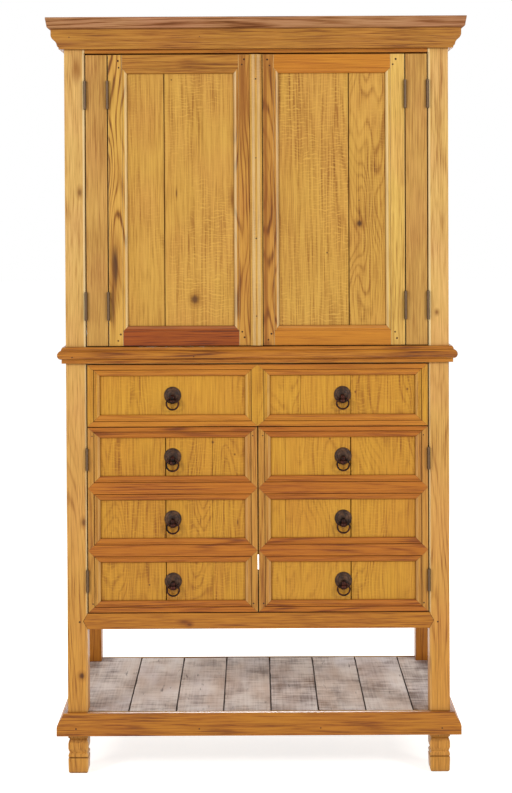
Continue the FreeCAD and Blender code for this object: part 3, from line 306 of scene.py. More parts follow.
def pine(
    name, stain, figure=0.6, arch_mm=1500, sawn=0.0, contrast=1.0, waxed=1.0, wax_and_shade=0.7,
    low_shade=0.0, knots=(),
):
    """Pine planed by hand and waxed: growth rings, brown streaks, fine fibres, and wax with painted shade
    in the corners.

    Fibres are 1 mm wide on the real wood and are drawn coarser, so that they show. arch_mm is the length
    of the rings' arches along the board. sawn adds the cross marks that a coarse saw leaves on panels: the
    real ones are about 2 mm apart and are drawn at four times that, in a paler colour that is partly a
    painted highlight on them. waxed gives gloss, the next argument the dark wax and painted shade in the
    corners, and the one after it a painted shade that darkens the wood towards the floor. Faces that the
    mesh marks get a pale cream, a painted highlight patchy like wear. knots are places in millimetres with
    a radius across and along an upright board, and how black they are.
    """
    material, tree = blank_material(name)
    wood = bpy.context.scene.cabinet_wood
    grain = put(tree, ATTRIBUTE, out="Vector", attribute_name="grain")
    tone = put(tree, ATTRIBUTE, out="Fac", attribute_name="tone")
    worn = put(tree, ATTRIBUTE, out="Fac", attribute_name="worn")
    black = tinted(wood.wax)

    # The rings are contour lines of a slow noise, so they run as long arches along the board
    slow = blotches(tree, grain, FIGURE_ACROSS_MM, arch_mm, *FIGURE_DETAIL)
    patch = put(tree, RANGE, {0: blotches(tree, grain, *PATCH), **PATCH_SPAN})
    slant = put(tree, VECTOR, {0: grain, 1: (1, 1, 0)}, out="Value", operation="DOT_PRODUCT")
    drift = put(tree, MATH, {0: slow, 1: 2 * math.pi * RING_COUNT}, **TIMES)
    wave = ripples(tree, slant, RING_PITCH_MM, drift)
    wave = put(tree, RANGE, {0: wave, **WAVE_SPAN})
    line = put(tree, MATH, {0: wave, 1: RING_SHARPNESS}, operation="POWER")
    latewood = put(tree, MATH, {0: line, 1: patch}, **TIMES)
    streak = blotches(tree, grain, *STREAK)
    fibre = blotches(tree, grain, *FIBRE)
    mottle = blotches(tree, grain, *MOTTLE)

    value = put(tree, MATH, {0: tone, 1: TONE_SHARE, 2: 0.5 + FIGURE_LIFT * figure}, **MADD)
    shares = (STREAK_SHARE * contrast, FIBRE_SHARE * contrast, MOTTLE_SHARE)
    value = layered(tree, value, (streak, fibre, mottle), shares)
    value = put(tree, MATH, {0: latewood, 1: -LATEWOOD_SHARE * figure, 2: value}, **MADD)
    dark = tinted(stain, *DARK_SHADE)
    pale = tinted(stain, *PALE_SHADE)
    shades = (tinted(dark, *PITCH_SHADE), dark, tinted(stain), pale)
    colour = put(tree, RAMP, {"Fac": value}, stops=zip(SHADE_STOPS, shades))
    blush = put(tree, RANGE, {0: blotches(tree, grain, *BLUSH), **BLUSH_SPAN})
    colour = put(tree, MIX, {0: blush, 6: colour, 7: BLUSH_TINT}, blend_type="MULTIPLY", **COLOURS)
    height = put(tree, MATH, {0: fibre, 1: FIBRE_RELIEF, 2: latewood}, **MADD)

    if sawn:
        rise = put(tree, SPLIT, {"Vector": grain}, out="Z")
        bend = put(tree, MATH, {0: blotches(tree, grain, *SAW_BENDS), 1: SAW_BEND}, **TIMES)
        mark = ripples(tree, rise, SAW_PITCH_MM, bend)
        mark = put(tree, RANGE, {0: mark, 1: 0.0, 2: 1.0, 3: 0.0, 4: sawn})
        broken = put(tree, RANGE, {0: blotches(tree, grain, *SAW_BREAKS), **SAW_BREAK_SPAN})
        mark = put(tree, MATH, {0: mark, 1: broken}, **TIMES)
        # The saw marks are real and drawn pale, which is partly a painted highlight on their ridges
        marks = put(tree, MATH, {0: mark, 1: patch}, **TIMES)
        colour = put(tree, MIX, {0: marks, 6: colour, 7: pale}, **COLOURS)
        height = put(tree, MATH, {0: marks, 1: SAW_RELIEF, 2: height}, **MADD)
        cell = put(tree, "ShaderNodeTexVoronoi", {"Vector": grain, "Scale": 1 / (WORMHOLE_CELL_MM * MM)})
        hole = put(tree, RANGE, {0: cell, **WORMHOLE_SPAN})
        colour = put(tree, MIX, {0: hole, 6: colour, 7: black}, **COLOURS)

    place = put(tree, PLACE, out="Object")
    for x, z, across, along, depth in knots:
        off = put(tree, VECTOR, {0: place, 1: (x * MM, FRONT, z * MM)}, operation="SUBTRACT")
        off = put(tree, VECTOR, {0: off, 1: (1 / (across * MM), 0, 1 / (along * MM))}, **TIMES)
        reach = put(tree, VECTOR, {0: off}, out="Value", operation="LENGTH")
        reach = put(tree, MATH, {0: fibre, 1: KNOT_RAGGED, 2: reach}, **MADD)
        halo = put(tree, RANGE, {0: reach, **HALO_SPAN})
        colour = put(tree, MIX, {0: halo, 6: colour, 7: tinted(dark, *KNOT_SHADE)}, **COLOURS)
        core = put(tree, RANGE, {0: reach, 3: depth, **CORE_SPAN})
        colour = put(tree, MIX, {0: core, 6: colour, 7: black}, **COLOURS)

    # Painted shade: the wood darkens towards the floor
    if low_shade:
        rise = put(tree, SPLIT, {"Vector": place}, out="Z")
        depth = put(tree, RANGE, {0: rise, 3: low_shade, **LOW_SHADE_SPAN})
        colour = put(tree, MIX, {0: depth, 6: colour, 7: LOW_SHADE_TINT}, blend_type="MULTIPLY", **COLOURS)
    # Painted shade: the wood darkens softly within a few centimetres of frames and corners
    colour, _ = shade_and_dirt_in_corners(tree, colour, dark, *WIDE_PAINTED_SHADE)
    # Pale cream where the mesh marks it: a painted highlight from the side lamps, made patchy like wear
    hand = put(tree, RANGE, {0: mottle, **HIGHLIGHT_PATCH_SPAN})
    rubbed = put(tree, MATH, {0: worn, 1: hand}, **TIMES)
    colour = put(tree, MIX, {0: rubbed, 6: colour, 7: tinted(wood.pale_wear_and_highlight)}, **COLOURS)
    # Dark wax in the quirks and joints, darkened by ambient occlusion as painted shade too
    colour, open_air = shade_and_dirt_in_corners(tree, colour, black, *WAX_AND_PAINTED_SHADE, wax_and_shade)

    rough = put(tree, MATH, {0: streak, 1: STREAK_ROUGH, 2: BARE_ROUGH - WAX_SMOOTHS * waxed}, **MADD)
    # Dusty wax in the joints doesn't shine
    dull = put(tree, RANGE, {0: open_air, **DULL_SPAN})
    rough = put(tree, MATH, {0: rough, 1: dull}, operation="ADD")
    bump = put(tree, BUMP, {"Height": height, "Strength": PINE_BUMP, "Distance": PINE_RELIEF_MM * MM})
    inputs = {"Base Color": colour, "Roughness": rough, "Normal": bump, SHINE: WAX_SHINE * waxed}
    put(tree, SURFACE, {"Surface": put(tree, PRINCIPLED, inputs)})
    return material


# The planks' patterns as size across and along the grain in millimetres, detail and roughness
BLOTCH = (80, 110, 4.0)
STROKE = (90, 6, 3.0)
ROUGH_FIBRE = (5, 160, 3.0)
WARM = (70, 260, 2.0)
COLD = (90, 320, 2.0)
CHECK = (16, 90, 3.0, 0.5)
WARM_SPAN = {1: 0.45, 2: 0.7, 3: 0.0, 4: 0.4}
COLD_SPAN = {1: 0.42, 2: 0.66, 3: 0.0, 4: 0.6}
CHECK_SPAN = {1: 0.33, 2: 0.25, 3: 0.0, 4: 0.7}
ROUGH_SAW_PITCH_MM = 13
ROUGH_SAW_DRIFT = 7.0
ROUGH_SAW_RELIEF = 0.5
PLANK_BUMP = 0.6
PLANK_RELIEF_MM = 1.0
PLANK_ROUGH = 0.85
PLANK_SHINE = 0.2
# How strongly strokes, blotches, fibres and saw lines show, and how much planks differ
ROUGH_SHARES = (0.95, 1.2, 0.45, 0.2)
PLANK_TONE = 0.13
PLANK_DARK = linear("#75645A")
PLANK_DIM = linear("#B6A79F")
PLANK_PALE = linear("#F4ECE6")
PLANK_WARM = linear("#BE9877")
PLANK_STOPS = (0.10, 0.34, 0.52, 0.85)
COLD_TINT = (0.86, 0.88, 0.98, 1.0)


def weathered_pine(name, grey):
    """Rough-sawn pine gone grey: saw lines across each plank, dark checks along it, pinkish blotches, and
    painted shade in the gaps and corners.
    """
    material, tree = blank_material(name)
    black = tinted(bpy.context.scene.cabinet_wood.wax)
    grain = put(tree, ATTRIBUTE, out="Vector", attribute_name="grain")
    tone = put(tree, ATTRIBUTE, out="Fac", attribute_name="tone")
    along = put(tree, SPLIT, {"Vector": grain}, out="Z")
    blotch = blotches(tree, grain, *BLOTCH)
    stroke = blotches(tree, grain, *STROKE)
    fibre = blotches(tree, grain, *ROUGH_FIBRE)
    drift = put(tree, MATH, {0: blotch, 1: ROUGH_SAW_DRIFT}, **TIMES)
    wave = ripples(tree, along, ROUGH_SAW_PITCH_MM, drift)
    saw = put(tree, RANGE, {0: wave, **WAVE_SPAN})
    value = put(tree, MATH, {0: tone, 1: PLANK_TONE, 2: 0.5}, **MADD)
    value = layered(tree, value, (stroke, blotch, fibre, saw), ROUGH_SHARES)
    shades = map(tinted, (PLANK_DARK, PLANK_DIM, grey, PLANK_PALE))
    colour = put(tree, RAMP, {"Fac": value}, stops=zip(PLANK_STOPS, shades))
    warm = put(tree, RANGE, {0: blotches(tree, grain, *WARM), **WARM_SPAN})
    colour = put(tree, MIX, {0: warm, 6: colour, 7: tinted(PLANK_WARM)}, **COLOURS)
    cold = put(tree, RANGE, {0: blotches(tree, grain, *COLD), **COLD_SPAN})
    colour = put(tree, MIX, {0: cold, 6: colour, 7: COLD_TINT}, blend_type="MULTIPLY", **COLOURS)
    check = put(tree, RANGE, {0: blotches(tree, grain, *CHECK), **CHECK_SPAN})
    colour = put(tree, MIX, {0: check, 6: colour, 7: black}, **COLOURS)
    # Painted shade: dark in the gaps between planks and under the rails
    colour, _ = shade_and_dirt_in_corners(tree, colour, black, *PLANK_PAINTED_SHADE)
    rise = put(tree, MATH, {0: stroke, 1: fibre}, operation="ADD")
    height = put(tree, MATH, {0: saw, 1: ROUGH_SAW_RELIEF, 2: rise}, **MADD)
    bump = put(tree, BUMP, {"Height": height, "Strength": PLANK_BUMP, "Distance": PLANK_RELIEF_MM * MM})
    inputs = {"Base Color": colour, "Roughness": PLANK_ROUGH, "Normal": bump, SHINE: PLANK_SHINE}
    put(tree, SURFACE, {"Surface": put(tree, PRINCIPLED, inputs)})
    return material


METAL_DETAIL = 3.0
PIT_DETAIL = 2.0
PITS_PER_BLOTCH = 4
GLINT_SHARE = 0.6
WEAR_AND_GLINT_SPAN = {1: 0.4, 2: 0.8}
PIT_ROUGH = 0.3
METAL_BUMP = 0.5
METAL_RELIEF_MM = 0.5
METAL_SHINE = 0.3
PORES = (1.2, 1.2, 2.0)
# A peg's shades as places in its pores and brightness
PEG_SHADES = ((0.3, 0.5), (0.7, 1.3))
PEG_ROUGH = 0.7
PEG_SHINE = 0.3


def old_metal(name, dark, pale, metallic, rough, pit_mm):
    """Iron or steel blackened by oil and rust: pitted, rubbed on high places, pale as a painted glint where
    the mesh marks it, dark with soot and painted shade in its hollows, and only partly metallic.
    """
    material, tree = blank_material(name)
    place = put(tree, PLACE, out="Object")
    blotch_mm = pit_mm * PITS_PER_BLOTCH
    blotch = blotches(tree, place, blotch_mm, blotch_mm, METAL_DETAIL)
    pits = blotches(tree, place, pit_mm, pit_mm, PIT_DETAIL)
    # The pale colour goes on random rubbed patches, and as a painted glint where the mesh marks it
    worn = put(tree, ATTRIBUTE, out="Fac", attribute_name="worn")
    worn = put(tree, MATH, {0: worn, 1: GLINT_SHARE, 2: blotch}, **MADD)
    worn = put(tree, RANGE, {0: worn, **WEAR_AND_GLINT_SPAN})
    colour = put(tree, MIX, {0: worn, 6: tinted(dark), 7: tinted(pale)}, **COLOURS)
    # Soot in the hollows, darkened by ambient occlusion as painted shade too
    colour, _ = shade_and_dirt_in_corners(tree, colour, tinted(bpy.context.scene.cabinet_iron.soot), *SOOT_AND_PAINTED_SHADE)
    roughness = put(tree, MATH, {0: pits, 1: PIT_ROUGH, 2: rough - PIT_ROUGH / 2}, **MADD)
    bump = put(tree, BUMP, {"Height": pits, "Strength": METAL_BUMP, "Distance": METAL_RELIEF_MM * MM})
    inputs = {
        "Base Color": colour, "Metallic": metallic, "Roughness": roughness, "Normal": bump,
        SHINE: METAL_SHINE,
    }
    put(tree, SURFACE, {"Surface": put(tree, PRINCIPLED, inputs)})
    return material


def peg_wood(name, colour):
    """End grain of a dark wooden peg, cut flush: fine pores and a dull face."""
    material, tree = blank_material(name)
    place = put(tree, PLACE, out="Object")
    stops = [(at, tinted(colour, share, share, share)) for at, share in PEG_SHADES]
    tint = put(tree, RAMP, {"Fac": blotches(tree, place, *PORES)}, stops=stops)
    inputs = {"Base Color": tint, "Roughness": PEG_ROUGH, SHINE: PEG_SHINE}
    put(tree, SURFACE, {"Surface": put(tree, PRINCIPLED, inputs)})
    return material


# Knots and dark figures as across, height, radius across, radius along and blackness, in millimetres
POST_KNOTS = [
    (-476, 265, 8, 10, 0.8), (-474, 1565, 7, 13, 0.35), (-482, 1897, 9, 26, 0.0),
    (482, 1240, 5, 7, 0.3), (-468, 679, 7, 12, 0.5),
]
PANEL_KNOTS = [
    (-167, 1277, 13, 14, 0.7), (276, 1479, 9, 11, 0.85),
    (-66, 1545, 4, 24, 0.2), (-215, 1562, 2, 13, 0.6),
]
STILE_KNOTS = [
    (-381, 1364, 11, 70, 0.8), (-386, 1262, 5, 70, 0.5),
    (24, 1540, 3.6, 2000, 0.0), (-36, 1850, 9, 110, 0.0),
]
RAIL_KNOTS = [(-200, 409, 15, 6, 0.3), (-186, 402, 8, 5, 0.4)]
FACING_KNOTS = [
    (-121, 892, 3.0, 3.4, 0.8), (-62, 859, 2.2, 2.6, 0.8), (-155, 679, 1.4, 11, 0.4),
    (-55, 676, 1.8, 8, 0.6), (403, 1033, 2.4, 3, 0.8), (263, 1026, 2.2, 3, 0.7),
    (194, 900, 2.4, 3, 0.8), (-47, 462, 9, 2.5, 0.7),
]
# What the boards of the upper doors' panels share
PANEL = {"wax_and_shade": 0.95, "knots": PANEL_KNOTS}

FINISHES = {}


def finish(name):
    """The finish of that name, made once from the user's colours."""
    if name in FINISHES:
        return FINISHES[name]
    wood = bpy.context.scene.cabinet_wood
    iron = bpy.context.scene.cabinet_iron
    makers = {
        "straw": lambda: pine("waxed_pine_straw", wood.straw, 0.5, 700, low_shade=0.9, knots=POST_KNOTS),
        "wheat": lambda: pine("waxed_pine_wheat", wood.wheat, 0.2, 900, contrast=0.8),
        "gleaming": lambda: pine("gleaming_pine_honey", wood.honey, 0.5, 260, 0.3, 0.9, **PANEL),
        "honey": lambda: pine("waxed_pine_honey", wood.honey, 0.35, 900, 0.4, 0.7, **PANEL),
        "sawn": lambda: pine("sawn_pine_honey", wood.honey, 0.35, sawn=0.85, contrast=0.75, **PANEL),
        "golden": lambda: pine("waxed_pine_golden", wood.golden, 0.35, 300, 0.45, 0.75, knots=FACING_KNOTS),
        "fawn": lambda: pine("waxed_pine_fawn", wood.fawn, 0.2, 900, contrast=0.7),
        "amber": lambda: pine("waxed_pine_amber", wood.amber, 0.5, 900),
        "figured": lambda: pine("figured_pine_amber", wood.amber, 1.0, 420, knots=STILE_KNOTS),
        "flamed": lambda: pine("flamed_pine_honey", wood.honey, 1.4, 360, knots=STILE_KNOTS),
        "tawny": lambda: pine("waxed_pine_tawny", wood.tawny, 0.4, contrast=1.3, wax_and_shade=0.95),
        "caramel": lambda: pine("waxed_pine_caramel", wood.caramel, 0.3, contrast=0.6),
        "toffee": lambda: pine(
            "waxed_pine_toffee", wood.toffee, 0.8, contrast=1.4, wax_and_shade=0.95, knots=RAIL_KNOTS,
        ),
        "russet": lambda: pine("waxed_pine_russet", wood.russet, 0.7),
        "brick": lambda: pine("waxed_pine_brick", wood.brick, 0.6, contrast=1.4),
        "umber": lambda: pine("dusty_pine_umber", wood.umber, 0.8, waxed=0.3),
        "bare": lambda: pine("bare_pine", wood.bare, 0.45, waxed=0.0),
        "weathered": lambda: weathered_pine("weathered_rough_pine", wood.weathered),
        "soot": lambda: old_metal("sooty_cast_iron", iron.soot, iron.rust, 0.6, 0.42, 3.0),
        "iron": lambda: old_metal("oiled_cast_iron", iron.iron, iron.rubbed, 0.15, 0.5, 3.0),
        "steel": lambda: old_metal("aged_hinge_steel", iron.steel, iron.bright, 0.2, 0.5, 2.0),
        "peg": lambda: peg_wood("dark_peg_end_grain", iron.peg),
    }
    FINISHES[name] = makers[name]()
    return FINISHES[name]


def placed(name, data):
    """A new object in the scene."""
    thing = bpy.data.objects.new(name, data)
    bpy.context.scene.collection.objects.link(thing)
    return thing


# Wooden pieces, eased from the joiner's solids


def solids_of(node):
    """The closed shells of a node, one after another, as lists of triangles' corners."""
    mesh = frame["nodes"][node].data
    points = [tuple(round(c, 6) for c in vertex.co) for vertex in mesh.vertices]
    shells, shell, unpaired = [], [], set()
    for face in mesh.polygons:
        corners = [points[i] for i in face.vertices]
        shell.append(corners)
        for a, b in zip(corners, corners[1:] + corners[:1]):
            if (b, a) in unpaired:
                unpaired.remove((b, a))
            else:
                unpaired.add((a, b))
        if not unpaired:
            shells.append(shell)
            shell = []
    if shell:
        raise RuntimeError(node + " has a shell that doesn't close")
    return shells


# Two points this near are one, and a point this near to a face lies on it
NEAR = 1e-6
ON_FACE = 1e-4
FLAT_ANGLE = math.radians(0.6)
ARRIS_ANGLE = math.radians(32)
SHARP_ANGLE = math.radians(50)
GRAIN_SPREAD = 4
# A face gets the pale cream, a painted highlight patchy like wear, when its normal turns between these
# shares towards a side
TURNED_AWAY = (0.2, 0.97)
# Faces that turn upwards get this share of the painted highlight
UPPER_SHARE = 0.15


def merged(shell):
    """One solid as a bmesh with its flat faces whole."""
    bm = bmesh.new()
    corners = {}
    for triangle in shell:
        for point in triangle:
            if point not in corners:
                corners[point] = bm.verts.new(point)
        loop = [corners[p] for p in triangle]
        if len(set(loop)) == len(loop) and not bm.faces.get(loop):
            bm.faces.new(loop)
    bmesh.ops.dissolve_limit(bm, angle_limit=FLAT_ANGLE, verts=bm.verts, edges=bm.edges)
    return bm


def eased(shell, width, rubbed=0.0):
    """One solid with rounded arrises; returns the bmesh and the share of painted highlight on its faces.

    A solid with steps smaller than the width is rounded less. rubbed is the share of pale cream, a painted
    highlight patchy like wear, on mouldings and chamfers that face sideways; those that face up get less of
    it.
    """
    bm = merged(shell)
    sharp = [
        edge for edge in bm.edges
        if len(edge.link_faces) == 2 and edge.is_convex
        and edge.calc_face_angle() > ARRIS_ANGLE and edge.calc_length() > 2 * width
    ]
    if width and sharp:
        bmesh.ops.bevel(
            bm, geom=sharp, offset=width, offset_type="OFFSET", segments=2, profile=0.5,
            affect="EDGES", clamp_overlap=True,
        )
        bmesh.ops.dissolve_degenerate(bm, dist=NEAR, edges=bm.edges)
    bm.normal_update()
    least, most = TURNED_AWAY
    worn = {face: rubbed for face in bm.faces if least < abs(face.normal.x) < most}
    worn.update({face: rubbed * UPPER_SHARE for face in bm.faces if least < face.normal.z < most})
    return bm, worn


def cut(bm, place, normal):
    """Cut the faces along a plane and keep both sides."""
    every = bm.verts[:] + bm.edges[:] + bm.faces[:]
    bmesh.ops.bisect_plane(bm, geom=every, plane_co=place, plane_no=normal, dist=NEAR)


def box_of(points):
    """Lowest and highest corner of some points."""
    return [Vector([pick(p[i] for p in points) for i in range(3)]) for pick in (min, max)]


def middle_of(shell):
    """Centre and size of a solid's box."""
    low, high = box_of([p for triangle in shell for p in triangle])
    return (low + high) / 2, high - low


class BoardHeap:
    """Collects solids into one mesh, with grain coordinates, tone, and painted highlight with wear, for the
    finishes.
    """

    def __init__(self, name):
        self.name = name
        self.points, self.faces = [], []
        self.grain, self.tone, self.worn, self.finish = [], [], [], []
        self.finishes = []

    def add(self, bm, worn, finish_name, seed, upright=False):
        """Take over one solid; its grain runs along its longest side, or upwards."""
        chance = random.Random(seed)
        low, high = box_of([v.co for v in bm.verts])
        size = high - low
        along = 2 if upright else max(range(3), key=lambda i: size[i])
        across = [i for i in range(3) if i != along]
        offset = [chance.uniform(-GRAIN_SPREAD, GRAIN_SPREAD) for _ in range(3)]
        tone = chance.uniform(-1, 1)
        if finish_name not in self.finishes:
            self.finishes.append(finish_name)
        start = len(self.points)
        for i, vertex in enumerate(bm.verts):
            vertex.index = i
            co = vertex.co
            self.points.append(co[:])
            self.grain += [co[across[0]] + offset[0], co[across[1]] + offset[1], co[along] + offset[2]]
            self.tone.append(tone)
        for face in bm.faces:
            self.faces.append([v.index + start for v in face.verts])
            self.worn.append(worn.get(face, 0.0))
            self.finish.append(self.finishes.index(finish_name))
        bm.free()

    def piece(self, node):
        """The finished object, riding on the node's body in place of the node."""
        mesh = bpy.data.meshes.new(self.name)
        mesh.from_pydata(self.points, [], self.faces)
        mesh.attributes.new("grain", "FLOAT_VECTOR", "POINT").data.foreach_set("vector", self.grain)
        mesh.attributes.new("tone", "FLOAT", "POINT").data.foreach_set("value", self.tone)
        mesh.attributes.new("worn", "FLOAT", "FACE").data.foreach_set("value", self.worn)
        for name in self.finishes:
            mesh.materials.append(finish(name))
        mesh.polygons.foreach_set("material_index", self.finish)
        mesh.update()
        mesh.shade_smooth()
        mesh.set_sharp_from_angle(angle=SHARP_ANGLE)
        piece = placed(self.name, mesh)
        # Broad flat faces keep flat normals beside their rounded edges
        flat = piece.modifiers.new("flat_faces", "WEIGHTED_NORMAL")
        flat.keep_sharp = True
        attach(piece, BODY_OF[node])
        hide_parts(node)


def woodwork(node, stain, width=None, upright=False, rubbed=0.0):
    """Replace one wooden node by its solids, eased by a width or else like a moulding.

    stain is the name of a finish, or a function that chooses one by a solid's centre and size.
    """
    if width is None:
        width = bpy.context.scene.cabinet_wood.moulding_ease
    heap = BoardHeap(node + "_wood")
    for number, shell in enumerate(solids_of(node)):
        name = stain if isinstance(stain, str) else stain(*middle_of(shell))
        bm, worn = eased(shell, width, rubbed)
        heap.add(bm, worn, name, f"{node} {number}", upright)
    heap.piece(node)


def lies_across(size):
    """True for a board whose longest side runs from left to right."""
    return size.x >= max(size.y, size.z)


# How strongly the pale cream, a painted highlight patchy like wear, shows on chamfers and mouldings
POST_WEAR_AND_HIGHLIGHT = 0.9
LOW_POST_WEAR_AND_HIGHLIGHT = 0.12
HIGHLIGHT_STRIP_WIDTH = 5.5 * MM
FACING_FRONT = 0.8
MOULDING_WEAR_AND_HIGHLIGHT = 0.55
BEAD_WEAR_AND_HIGHLIGHT = 0.35
FACING_WEAR_AND_HIGHLIGHT = 0.12
BOARD_SWELL = 0.35 * MM


class CABINET_OT_carcase(bpy.types.Operator):
    """Posts, rails and boards of the standing frame"""

    bl_idname = "cabinet.carcase"
    bl_label = "Carcase"

    def execute(self, context):
        ease = context.scene.cabinet_wood.ease
        for side in ("left", "right"):
            self.front_post("front_" + side + "_post", ease)
            woodwork("back_" + side + "_post", "toffee", ease)
            woodwork(side + "_side_rails", "toffee", ease)
            woodwork(side + "_side_boards", "honey", ease)
        woodwork("front_top_rail", "toffee", ease)
        woodwork("front_waist_rail", "bare", ease)
        woodwork("front_bottom_rail", "toffee", ease)
        for node in ("divider_rail", "back_rails", "base_rails", "plank_bearers"):
            woodwork(node, "bare", ease)
        self.back(ease)
        return {"FINISHED"}

    def front_post(self, node, ease):
        """A front post, with a pale painted highlight, patchy like wear, along its inner front arris."""
        heap = BoardHeap(node + "_wood")
        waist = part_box("waist_moulding")[1]
        for number, shell in enumerate(solids_of(node)):
            centre, size = middle_of(shell)
            inner = abs(centre.x) - size.x / 2 + HIGHLIGHT_STRIP_WIDTH
            bm, worn = eased(shell, ease, POST_WEAR_AND_HIGHLIGHT)
            cut(bm, Vector((math.copysign(inner, centre.x), 0, 0)), (1, 0, 0))
            cut(bm, waist, (0, 0, 1))
            bmesh.ops.dissolve_degenerate(bm, dist=NEAR, edges=bm.edges)
            worn = {face: wear for face, wear in worn.items() if face.is_valid}
            for face in bm.faces:
                middle = face.calc_center_median()
                if abs(middle.x) < inner and face.normal.y < -FACING_FRONT:
                    worn[face] = POST_WEAR_AND_HIGHLIGHT if middle.z > waist.z else LOW_POST_WEAR_AND_HIGHLIGHT
            heap.add(bm, worn, "straw", f"{node} {number}")
        heap.piece(node)

    def back(self, ease):
        """Back boards, swollen until their butt joints close inside."""
        low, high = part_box("back_boards")
        heap = BoardHeap("back_boards_wood")
        for number, shell in enumerate(solids_of("back_boards")):
            centre, _ = middle_of(shell)
            bm, worn = eased(shell, ease)
            for vertex in bm.verts:
                if vertex.co.y < centre.y:
                    grown = vertex.co.x + math.copysign(BOARD_SWELL, vertex.co.x - centre.x)
                    vertex.co.x = min(high.x, max(low.x, grown))
            heap.add(bm, worn, "bare", f"back board {number}", upright=True)
        heap.piece("back_boards")


class CABINET_OT_inside(bpy.types.Operator):
    """Deck, floor, shelf, cleats and runners inside"""

    bl_idname = "cabinet.inside"
    bl_label = "Inside"

    def execute(self, context):
        ease = context.scene.cabinet_wood.ease
        for node in ("tv_deck", "compartment_floor", "compartment_shelf", "shelf_cleats", "drawer_runners"):
            woodwork(node, "bare", ease)
        return {"FINISHED"}


class CABINET_OT_mouldings(bpy.types.Operator):
    """Cornice, waist and base mouldings"""

    bl_idname = "cabinet.mouldings"
    bl_label = "Mouldings"

    def execute(self, context):
        woodwork("cornice_cap", "umber", context.scene.cabinet_wood.ease)
        woodwork("cornice_moulding", "tawny")
        woodwork("waist_moulding", "toffee")
        woodwork("base_moulding", "toffee")
        return {"FINISHED"}


PLANK_STEP = 22 * MM
# Worn hollows per metre across and along, and how far each plank's pattern lies from the next
HOLLOWS = (22, 9)
PLANK_OFFSET = 5.3
RAGGED_SCALE = 2.7
RAGGED_OFFSET = Vector((3, 1, 7))
# Shares of the wear by which a plank sinks, and by which its face is hollow
SINK_SHARE = 0.5
HOLLOW_SHARE = 0.6
# The last plank has lost a chip in front, beside the post
CHIP_FROM = -1 * MM
CHIP_TO = 30 * MM
CHIP_DEPTH = 14 * MM


class CABINET_OT_planks(bpy.types.Operator):
    """Rough planks of the open shelf, with worn faces and wavy edges"""

    bl_idname = "cabinet.planks"
    bl_label = "Planks"

    def execute(self, context):
        wear = context.scene.cabinet_wood.plank_wear
        heap = BoardHeap("base_planks_wood")
        for number, shell in enumerate(solids_of("base_planks")):
            bm = merged(shell)
            centre, size = middle_of(shell)
            low, high = centre - size / 2, centre + size / 2
            for axis in (0, 1):
                steps = max(2, round(size[axis] / PLANK_STEP))
                for k in range(1, steps):
                    at = Vector(centre)
                    at[axis] = low[axis] + size[axis] * k / steps
                    normal = Vector((0, 0, 0))
                    normal[axis] = 1
                    cut(bm, at, normal)
            last = high.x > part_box("base_planks")[1].x - ON_FACE
            # Neighbours take steps that differ, because 7 and 5 share no factor
            sink = wear * SINK_SHARE * (number * 7 % 5) / 4
            for vertex in bm.verts:
                co = vertex.co.copy()
                where = Vector((co.x * HOLLOWS[0], co.y * HOLLOWS[1], number * PLANK_OFFSET))
                hollow = 0.5 + 0.5 * noise.noise(where)
                ragged = 0.5 + 0.5 * noise.noise(where * RAGGED_SCALE + RAGGED_OFFSET)
                if co.z > high.z - ON_FACE:
                    vertex.co.z -= sink + wear * HOLLOW_SHARE * hollow
                    if last and low.y + CHIP_FROM < co.y < low.y + CHIP_TO:
                        vertex.co.z -= CHIP_DEPTH
                for axis in (0, 1):
                    if co[axis] < low[axis] + ON_FACE:
                        vertex.co[axis] += wear * ragged
                    elif co[axis] > high[axis] - ON_FACE:
                        vertex.co[axis] -= wear * ragged
            heap.add(bm, {}, "weathered", f"plank {number}")
        heap.piece("base_planks")
        return {"FINISHED"}


WIDE_BOARD = 150 * MM
DOOR_MIDDLE = 1.5
OUTER_STILE = 0.2


class CABINET_OT_upper_doors(bpy.types.Operator):
    """Hinged strips, framed doors and the bead where they meet"""

    bl_idname = "cabinet.upper_doors"
    bl_label = "Upper doors"

    def execute(self, context):
        def left_frame(centre, size):
            if lies_across(size):
                return "tawny" if centre.z > DOOR_MIDDLE else "brick"
            return "flamed" if centre.x < -OUTER_STILE else "figured"

        def right_frame(centre, size):
            if lies_across(size):
                return "caramel"
            return "wheat" if centre.x > OUTER_STILE else "figured"

        def panel_board(centre, size):
            if size.x > WIDE_BOARD:
                return "sawn"
            return "honey" if centre.x < 0 else "gleaming"

        woodwork("left_strip", "fawn")
        woodwork("right_strip", "fawn")
        woodwork("left_door_frame", left_frame, rubbed=MOULDING_WEAR_AND_HIGHLIGHT)
        woodwork("right_door_frame", right_frame, rubbed=MOULDING_WEAR_AND_HIGHLIGHT)
        for side in ("left", "right"):
            woodwork(side + "_door_panel", panel_board)
        woodwork("left_door_astragal", "honey", rubbed=BEAD_WEAR_AND_HIGHLIGHT)
        return {"FINISHED"}


class CABINET_OT_drawer(bpy.types.Operator):
    """The drawer's faced front and its dovetailed box"""

    bl_idname = "cabinet.drawer"
    bl_label = "Drawer"

    def execute(self, context):
        woodwork("drawer_front_boards", "golden", upright=True)
        woodwork(
            "drawer_front_mouldings",
            lambda centre, size: "caramel" if lies_across(size) else "golden",
            rubbed=FACING_WEAR_AND_HIGHLIGHT,
        )
        for node in ("drawer_box", "drawer_bottom"):
            woodwork(node, "bare")
        return {"FINISHED"}


